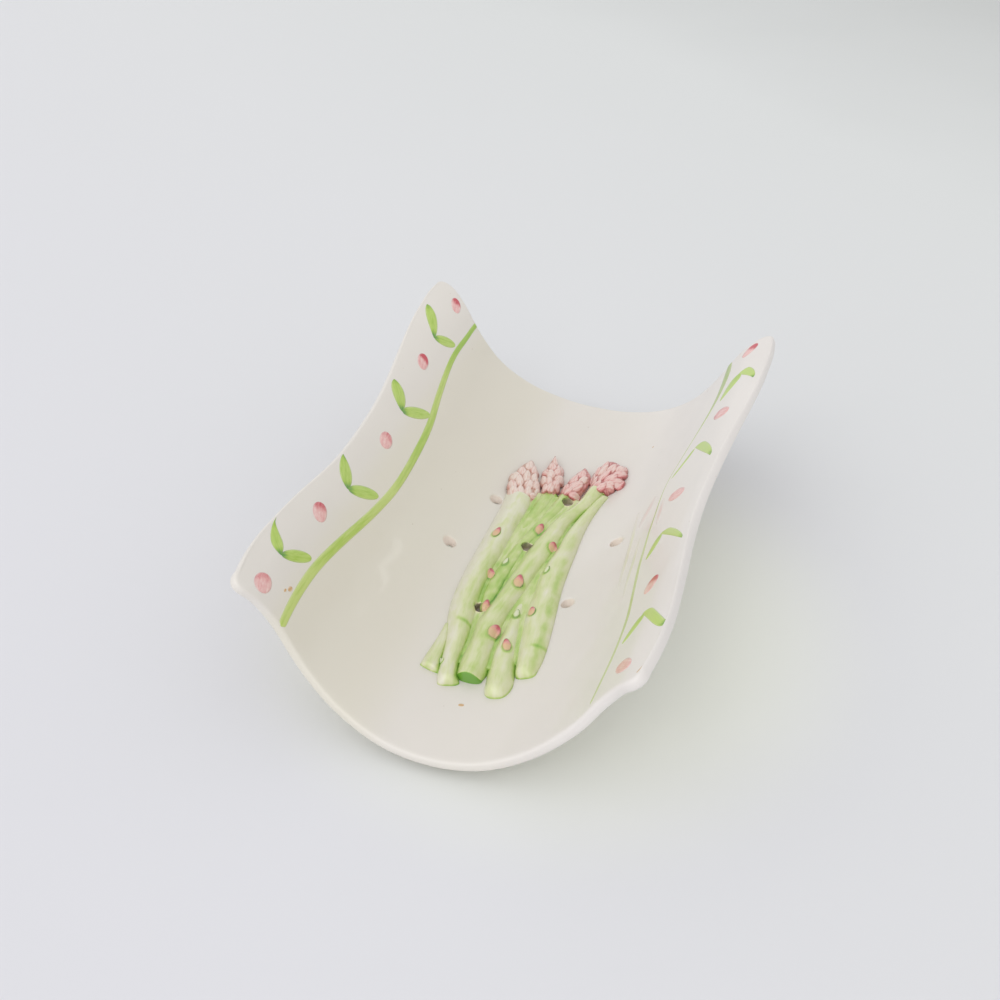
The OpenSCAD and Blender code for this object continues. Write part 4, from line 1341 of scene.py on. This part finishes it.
def build_scale(table, scale, share):
    """One scale of a tip: sunk at its root, raised and domed towards its point."""
    length, width = scale[3:]
    along = np.linspace(-1, 1, SCALE_ROWS + 1)[:, None]
    across = np.linspace(-1, 1, SCALE_COLUMNS + 1)[None, :]
    outline = np.clip(1 - np.abs(along)**2.2, 0, 1)**0.7*(1 - 0.3*along)
    x = across*outline*width/2*MM*SCALE_GROWTH
    y = along*length/2*MM*SCALE_GROWTH + 0*across
    b, a = oval_shares(scale, x, y)
    body = tip_top(table, b, a)
    dome = SCALE_DOME*np.sqrt(np.clip(1 - across**2, 0, 1))*(1 - np.abs(along)**4)
    top = body + SCALE_RISE*((along + 1)/2)**1.3 + dome + SCALE_STEP*share
    bottom = np.maximum(body - SCALE_THICKNESS, -TIP_ROOT)
    points, faces = closed_sheet(bundle_place(b, a, top), bundle_place(b, a, bottom))
    rim = np.maximum(np.abs(across)*np.ones_like(along), np.abs(along)**1.5*np.ones_like(across))
    edge = 0.75*smooth_step(0.66, 1.0, rim) + 0.2*smooth_step(0.0, -1.0, along)
    return (points, faces), {
        "edge": np.concatenate([edge.ravel(), np.full(edge.size, 1.0)]),
        "along": np.tile(y.ravel(), 2),
        "across": np.tile(x.ravel(), 2),
    }


# Start of the random draws, and how much they vary a scale's tint
TIP_SEED = 11
TINT_SPREAD = 0.13
# How red the body shows between the scales
BODY_EDGE = 0.7
# How far apart the scales lie in the pattern of their veins, in metres
SCALE_SHIFT_ALONG = 0.02
SCALE_SHIFT_ACROSS = 0.013


def build_tip(k, finish):
    """A tip: a round body under overlapping scales, the foremost of them on top."""
    table = TIPS[k]
    dice = np.random.default_rng(TIP_SEED + k)
    b = np.linspace(table[0, 0], table[-1, 0], TIP_ROWS + 1)[:, None]
    low = follow(table, 1, b)
    high = follow(table, 2, b)
    x = -np.cos(np.linspace(0, math.pi, TIP_COLUMNS + 1))[None, :]
    a = (low + high)/2 + (high - low)/2*x*TIP_WAIST
    b = np.broadcast_to(b, a.shape)
    bodies = [closed_sheet(
        bundle_place(b, a, tip_top(table, b, a)), bundle_place(b, a, -TIP_ROOT))]
    count = len(bodies[0][0])
    edges = [np.full(count, BODY_EDGE)]
    tints = [np.full(count, TIP_TINTS[k])]
    along = [np.tile(b.ravel(), 2)*BUNDLE_LENGTH/2]
    across = [np.tile(a.ravel(), 2)*BUNDLE_WIDTH/2]
    for row, scale in enumerate(SCALES[k]):
        solid, marks = build_scale(table, scale, row/len(SCALES[k]))
        bodies.append(solid)
        edges.append(marks["edge"])
        tints.append(np.full(len(solid[0]), TIP_TINTS[k] + dice.normal(0, TINT_SPREAD)))
        along.append(marks["along"] + SCALE_SHIFT_ALONG*row)
        across.append(marks["across"] + SCALE_SHIFT_ACROSS*row)
    points, faces = gather(bodies)
    name = TIP_NAMES[k]
    tip = add_piece(name + "_tip_cast", points, faces, finish, [name + "_tip"])
    mark(tip, "edge", np.concatenate(edges))
    mark(tip, "tint", np.clip(np.concatenate(tints), 0, 1))
    mark_grain(tip, np.concatenate(along), np.concatenate(across))
    return tip


# Steps of a bract's mesh
BRACT_ROWS = 30
BRACT_COLUMNS = 24
BRACT_HEIGHT = 1.1*MM
# How far the green run round a bract reaches beyond it, as a share of the bract
BRACT_SKIRT = 1.3
# How thick that run is at the bract, and how far its rim and the bract are sunk in
RUN_HEIGHT = 0.07*MM
RUN_SINK = 0.05*MM
BRACT_ROOT = 0.6*MM
# How far a bract may hang below the spear under its middle, or the spears on both its sides
BRACT_SAG = 1.4*MM
# How far apart the bracts lie in the pattern of their glaze, in metres
BRACT_SHIFT = 0.03


def build_bracts(name, table, finish, node):
    """Pointed ovals raised from the spears, each in a thin run of glaze."""
    bodies = []
    marks = {"dab": [], "edge": [], "crease": []}
    grain_along = []
    grain_across = []
    along = np.linspace(-1, 1, BRACT_ROWS + 1)[:, None]
    across = -np.cos(np.linspace(0, math.pi, BRACT_COLUMNS + 1))[None, :]
    outline = np.clip(1 - np.abs(along)**2.2, 0, 1)**0.55
    for k, bract in enumerate(table):
        b_middle, a_middle, _, length, width = bract
        x = across*outline*width/2*MM*BRACT_SKIRT
        y = along*length/2*MM*BRACT_SKIRT + 0*across
        b, a = oval_shares(bract, x, y)
        own_along, own_across, reach = bract_reach(b, a, bract)
        beside = width*MM/BUNDLE_WIDTH
        left, middle, right = bed(
            np.full(3, b_middle), a_middle + np.array([-beside, 0, beside]))
        level = max(middle, min(left, right)) - BRACT_SAG
        ground = np.where(reach < 1, np.maximum(bed(b, a), level), bed(b, a))
        swell = BRACT_HEIGHT*np.clip(1 - reach**2, 0, 1)**0.5*(0.85 + 0.25*own_along)
        fade = smooth_step(BRACT_SKIRT, 1.0, reach)
        bodies.append(closed_sheet(
            bundle_place(b, a, ground + swell + RUN_HEIGHT*fade - RUN_SINK*(1 - fade)),
            bundle_place(b, a, ground - BRACT_ROOT)))
        marks["dab"].append(np.tile((0.95*own_along + 0.12*own_across).ravel(), 2))
        marks["edge"].append(np.tile(reach.ravel(), 2))
        # Painted shadow side of each bract's rim: its right, and below it
        marks["crease"].append(np.tile((0.8*own_across - 0.5*own_along).ravel(), 2))
        grain_along.append(np.tile(y.ravel(), 2) + BRACT_SHIFT*k)
        grain_across.append(np.tile(x.ravel(), 2))
    points, faces = gather(bodies)
    piece = add_piece(name, points, faces, finish, [node])
    for key, values in marks.items():
        mark(piece, key, np.concatenate(values))
    mark_grain(piece, np.concatenate(grain_along), np.concatenate(grain_across))
    return piece


def lip_drop(u, v):
    """How far the rounded lip lies below the sheet's own run, beyond its edges."""
    beyond_end = (np.abs(v) - 1)*half_length(u)/LIP_REACH
    beyond_side = (np.abs(u) - 1)*half_arc(v)/LIP_SIDE_REACH
    share = np.clip(np.maximum(beyond_end, beyond_side), 0, 0.98)
    return WALL_THICKNESS/2*(1 - (1 - share**LIP_POWER)**(1/LIP_POWER))


# Steps across a mark of enamel, and along a stem, a leaf and a dab
ENAMEL_COLUMNS = 12
STEM_ROWS = 239
LEAF_ROWS = 40
DAB_ROWS = 32
# How high the marks' rims stand over the glaze, and how deep the marks reach into the dish
ENAMEL_RIM = 0.03*MM
ENAMEL_ROOT = 0.12*MM
# How thick the enamel lies on the left wall, on the right one, in its buds, and where it was wiped
LEFT_ENAMEL = 0.25*MM
RIGHT_ENAMEL = 0.18*MM
RIGHT_BUD_ENAMEL = 0.2*MM
WIPED_ENAMEL = 0.05*MM
# How much of a mark's width its darker midline takes
MIDLINE_SHARE = 0.45
# How far apart the marks lie in the pattern of their streaks, in metres
STROKE_SHIFT = 0.04


def lay_enamel(arc, along, half_width, height, load, lean_share=0.0, midline=0.0):
    """A raised mark along a line on the sheet: its body and what its finish reads.

    A lean share of -1 puts the mark beside the line, and of 0 over it. The midline is how much
    more colour lies along the mark's middle.
    """
    across = np.linspace(-1, 1, ENAMEL_COLUMNS + 1)[None, :]
    arc_step = np.gradient(arc)
    along_step = np.gradient(along)
    length = np.hypot(arc_step, along_step)
    shift = (across + lean_share)*half_width[:, None]
    t = along[:, None] - shift*(arc_step/length)[:, None]
    s = arc[:, None] + shift*(along_step/length)[:, None]
    v = t/MIDDLE_LENGTH
    u = s/half_arc(v)
    rounded = np.minimum(half_width/half_width.max()*2.2, 1)[:, None]
    ground = -lip_drop(u, v)
    top = ground + ENAMEL_RIM + height*rounded*(1 - across**4)
    points, faces = closed_sheet(place(u, v, top), place(u, v, ground - ENAMEL_ROOT))
    way = np.concatenate([[0], np.cumsum(length[1:])])
    dark = np.clip(1 - np.abs(across)/MIDLINE_SHARE, 0, 1)
    loads = load[:, None] + midline*dark*np.ones_like(s)
    return (points, faces), {
        "edge": np.tile((np.abs(across)*np.ones_like(s)).ravel(), 2),
        "load": np.tile(loads.ravel(), 2),
        "way": np.tile((way[:, None]*np.ones_like(s)).ravel(), 2),
        "side": np.tile(shift.ravel(), 2),
    }


def add_enamel(name, strokes, finish, nodes):
    """Several enamel marks as one piece."""
    points, faces = gather([stroke[0] for stroke in strokes])
    piece = add_piece(name, points, faces, finish, nodes)
    for key in ("edge", "load"):
        mark(piece, key, np.concatenate([stroke[1][key] for stroke in strokes]))
    mark_grain(
        piece,
        np.concatenate([stroke[1]["way"] + STROKE_SHIFT*k for k, stroke in enumerate(strokes)]),
        np.concatenate([stroke[1]["side"] for stroke in strokes]))
    return piece


def stem_stroke(table, widths, height):
    """A long line of enamel of changing width, with blunt ends."""
    v = np.linspace(table[0, 0], table[-1, 0], STEM_ROWS + 1)
    u = follow(table, 1, v)
    half_width = follow(widths, 1, v)/2*MM
    from_end = np.minimum(v - v[0], v[-1] - v)*MIDDLE_LENGTH
    closing = np.clip(from_end/half_width, 0, 1)
    half_width = half_width*(0.1 + 0.9*np.sqrt(closing*(2 - closing)))
    load = 0.12*np.sin(9*v) - 0.1*smooth_step(0.3, -0.5, v) + 0.25*smooth_step(0.4, 0.9, v)
    return lay_enamel(u*half_arc(v), v*MIDDLE_LENGTH, half_width, height, load, midline=0.1)


def leaf_line(leaf):
    """Shares of the way from a leaf's or a wipe's start to its end, and that line on the sheet."""
    u, v, end_u, end_v = leaf[:4]
    t = np.linspace(0, 1, LEAF_ROWS + 1)
    arc = u*half_arc(v)*(1 - t) + end_u*half_arc(end_v)*t
    return t, arc, (v*(1 - t) + end_v*t)*MIDDLE_LENGTH


def leaf_stroke(leaf, height, load, widest, fullness, lean_share=0.0, midline=0.0):
    """A pressed brush mark from a joint to a point, and the share of its way where it is widest."""
    t, arc, along = leaf_line(leaf)
    lopsided = np.where(t < widest, (widest - t)/widest, (t - widest)/(1 - widest))
    half_width = leaf[4]/2*MM*(0.06 + 0.94*np.clip(1 - lopsided**2, 0, 1)**fullness)
    return lay_enamel(arc, along, half_width, height, load(t), lean_share, midline)


def dab_stroke(dab, height, load):
    """An oval dab."""
    u, v, length, width, degrees, drop = dab
    turn = math.radians(degrees)
    t = np.linspace(-1, 1, DAB_ROWS + 1)
    arc = u*half_arc(v) + t*length/2*MM*math.cos(turn)
    along = v*MIDDLE_LENGTH + t*length/2*MM*math.sin(turn)
    half_width = width/2*MM*(0.05 + 0.95*np.sqrt(1 - t*t))
    return lay_enamel(arc, along, half_width, height, load(t, drop))


def wipe_stroke(wipe):
    """A faint smear from one place to another."""
    t, arc, along = leaf_line(wipe)
    half_width = wipe[4]/2*MM*(0.05 + 0.95*np.sqrt(4*t*(1 - t)))
    load = -0.6*(2*t - 1)**2
    return lay_enamel(arc, along, half_width, WIPED_ENAMEL, load, midline=0.25)


def joint_load(t):
    """Full colour at the joint and a little at the point."""
    return 0.6*smooth_step(0.3, 0.0, t) + 0.35*smooth_step(0.75, 1.0, t) - 0.08


def level_load(t):
    """Full colour at the joint alone."""
    return 0.55*smooth_step(0.28, 0.0, t) - 0.08


def stalk_load(t):
    """Pale at the stem, fuller at the joint."""
    return 0.2*smooth_step(0.5, 1.0, t) - 0.15


def cap_load(t):
    """Full colour at the drooping point."""
    return 0.6*smooth_step(0.75, 1.0, t) - 0.25


def far_load(t, drop):
    """A dab that is fuller at its far end, by the drop of colour left there."""
    return 0.05 + (0.35 + drop)*smooth_step(-0.1, 0.7, t)


def even_load(t, drop):
    """A dab that is even all over."""
    return drop + 0*t


def add_board():
    """The table under the plate."""
    mesh = bpy.data.meshes.new("table_board")
    half = BOARD_WIDTH/2
    corners = [(-half, -half, 0), (half, -half, 0), (half, half, 0), (-half, half, 0)]
    mesh.from_pydata(corners, [], [(0, 1, 2, 3)])
    mesh.materials.append(matt_board())
    board = bpy.data.objects.new("table_board", mesh)
    bpy.context.scene.collection.objects.link(board)


# Windows far off: direction from the right wall's side and height, and width as seen from the
# plate, all in degrees, and strength
LEFT_WINDOW = (212, 48, 60, 0.3)
NEAR_WINDOW = (-98, 27, 60, 0.6)
# A small pane behind the plate's right, for a faint glint on the left bend: place, what it faces,
# width and height in metres, and power in watts
PANE = ((1.57, 1.57, 0.90), (0, 0, 0.04), 0.06, 0.35, 0.2)
# Strength of the light from all round, and its shade from level with the plate up to overhead
SKY_STRENGTH = 0.95
SKY_SHADES = [(0.0, "#ffffff"), (0.5, "#f6f6f6"), (1.0, "#f0f0f0")]


def add_panel(name, spot, aim, width, height, power):
    """A soft panel of light."""
    lamp = bpy.data.lights.new(name, "AREA")
    lamp.shape = "RECTANGLE"
    lamp.size = width
    lamp.size_y = height
    lamp.energy = power
    panel = bpy.data.objects.new(name, lamp)
    panel.location = spot
    panel.rotation_euler = (Vector(aim) - Vector(spot)).to_track_quat("-Z", "Y").to_euler()
    bpy.context.scene.collection.objects.link(panel)


def add_window(name, azimuth, elevation, width, strength):
    """Far soft light from one side, as wide as seen from the plate."""
    lamp = bpy.data.lights.new(name, "SUN")
    lamp.angle = math.radians(width)
    lamp.energy = strength
    window = bpy.data.objects.new(name, lamp)
    side = math.radians(azimuth)
    rise = math.radians(elevation)
    way = Vector((
        math.cos(rise)*math.cos(side), math.cos(rise)*math.sin(side), math.sin(rise)))
    window.rotation_euler = way.to_track_quat("Z", "Y").to_euler()
    bpy.context.scene.collection.objects.link(window)


def add_sky():
    """Even light from all round, a little brighter from the sides."""
    world = bpy.data.worlds.new("studio")
    world.use_nodes = True
    tree = world.node_tree
    backdrop = tree.nodes["Background"]
    backdrop.inputs["Strength"].default_value = SKY_STRENGTH
    where = add_node(tree, "ShaderNodeTexCoord", {}, {})
    parts = add_node(tree, "ShaderNodeSeparateXYZ", {}, {"Vector": where.outputs["Generated"]})
    shade = add_node(
        tree, "ShaderNodeValToRGB", {"stops": SKY_SHADES}, {"Fac": parts.outputs["Z"]})
    tree.links.new(shade.outputs["Color"], backdrop.inputs["Color"])
    bpy.context.scene.world = world


# The photograph's camera, fitted to the plate's outline: its turn to the right and its height,
# its distance from the place that it faces, and its sensor's width and focal length in
# millimetres
CAMERA_TURN = math.radians(19.357)
CAMERA_RISE = math.radians(38.299)
CAMERA_DISTANCE = 668.57*MM
CAMERA_TARGET = Vector((-18.1*MM, 4.6*MM, 42.983*MM))
SENSOR_WIDTH = 36
FOCAL_LENGTH = 41.4


def add_camera():
    """The photograph's camera."""
    back = Vector((
        math.sin(CAMERA_TURN)*math.cos(CAMERA_RISE),
        -math.cos(CAMERA_TURN)*math.cos(CAMERA_RISE),
        math.sin(CAMERA_RISE),
    ))
    right = Vector((math.cos(CAMERA_TURN), math.sin(CAMERA_TURN), 0))
    lens = bpy.data.cameras.new("camera")
    lens.sensor_width = SENSOR_WIDTH
    lens.lens = FOCAL_LENGTH
    camera = bpy.data.objects.new("camera", lens)
    turned = Matrix((right, back.cross(right), back)).transposed().to_4x4()
    camera.matrix_world = Matrix.Translation(CAMERA_TARGET + back*CAMERA_DISTANCE) @ turned
    bpy.context.scene.collection.objects.link(camera)
    bpy.context.scene.camera = camera


white = white_tin_glaze()
green = pooled_and_shaded_green_glaze()
pink = brushed_pink_glaze()

build_dish(white)
for end, end_name in ((-1, "near"), (1, "far")):
    for side, side_name in ((-1, "left"), (1, "right")):
        build_foot(
            f"{end_name}_{side_name}_foot_ring", side, end, white, f"foot_{end_name}_{side_name}")

spear_casts = [build_spear(k, green) for k in range(len(SPEARS))]
groove_floor = build_groove_floor(green)
cutter = bore_cutter()
open_drains(spear_casts + [groove_floor], cutter)
bpy.data.objects.remove(cutter)
for k, cast in enumerate(spear_casts):
    paint_spear(cast, k)
paint_groove_floor(groove_floor)

for k in range(len(TIPS)):
    build_tip(k, pink)
build_bracts("pink_bract_casts", PINK_BRACTS, dabbed_pink_glaze(), "pink_bracts")
build_bracts(
    "pale_bract_casts", GREEN_BRACTS, rimmed_pale_glaze(), "green_bracts")

stem_enamel = brushed_enamel(
    "yellow_green_enamel", "#bfcf76", "#a9c450", "#8fb832",
    streak_width=1.8*MM, drag=0.1, rim_share=0.3)
thin_enamel = brushed_enamel(
    "thin_green_enamel", "#c2cd98", "#b2c279", "#97b052",
    streak_width=1.0*MM, drag=0.1, rim_share=0.35)
leaf_enamel = brushed_enamel(
    "leaf_green_enamel", "#b5cd66", "#a0c042", "#568f38",
    streak_width=1.3*MM, drag=0.16, rim_share=0.25)
bud_enamel = brushed_enamel(
    "rose_enamel", "#edd0cb", "#e2adaa", "#c2404e",
    streak_width=2.0*MM, drag=0.4, rim_share=0.3)
pink_film = brushed_enamel(
    "wiped_rose_enamel", "#e1d8d4", "#e0cfca", "#dfc3bd",
    streak_width=1.6*MM, drag=0.08, rim_share=1.0)
green_film = brushed_enamel(
    "wiped_green_enamel", "#e0dbd3", "#dbdac6", "#d3d6b4",
    streak_width=1.6*MM, drag=0.08, rim_share=1.0)

add_enamel(
    "left_stem_enamel", [stem_stroke(LEFT_STEM, LEFT_STEM_WIDTHS, LEFT_ENAMEL)],
    stem_enamel, ["left_stem"])
add_enamel(
    "right_stem_enamel", [stem_stroke(RIGHT_STEM, RIGHT_STEM_WIDTHS, RIGHT_ENAMEL)],
    thin_enamel, ["right_stem"])
left_marks = [
    leaf_stroke(leaf, LEFT_ENAMEL, joint_load, widest=0.45, fullness=0.85, midline=0.04)
    for leaf in LEFT_UPRIGHT_LEAVES
]
left_marks += [
    leaf_stroke(leaf, LEFT_ENAMEL, level_load, widest=0.5, fullness=0.55, midline=0.04)
    for leaf in LEFT_LEVEL_LEAVES
]
add_enamel("left_leaf_enamel", left_marks, leaf_enamel, ["left_leaves"])
right_marks = [
    leaf_stroke(stalk, RIGHT_ENAMEL, stalk_load, widest=0.7, fullness=0.7, midline=0.12)
    for stalk in RIGHT_STALKS
]
right_marks += [
    leaf_stroke(cap, RIGHT_ENAMEL, cap_load, widest=0.25, fullness=0.6, lean_share=-1.0)
    for cap in RIGHT_CAPS
]
add_enamel("right_leaf_enamel", right_marks, leaf_enamel, ["right_leaves"])
add_enamel(
    "left_bud_enamel", [dab_stroke(bud, LEFT_ENAMEL, far_load) for bud in LEFT_BUDS],
    bud_enamel, ["left_buds"])
add_enamel(
    "right_bud_enamel", [dab_stroke(bud, RIGHT_BUD_ENAMEL, far_load) for bud in RIGHT_BUDS],
    bud_enamel, ["right_buds"])
add_enamel(
    "wiped_pink_enamel", [wipe_stroke(wipe) for wipe in PINK_WIPES],
    pink_film, [])
add_enamel(
    "wiped_green_enamel", [wipe_stroke(wipe) for wipe in GREEN_WIPES],
    green_film, [])
add_enamel(
    "glaze_specks", [dab_stroke(speck, WIPED_ENAMEL, even_load) for speck in SPECKS],
    iron_speck(), [])

add_board()
add_window("left_window", *LEFT_WINDOW)
add_window("near_window", *NEAR_WINDOW)
add_panel("window_pane", *PANE)
add_sky()
add_camera()
bpy.context.scene.view_settings.view_transform = "Standard"
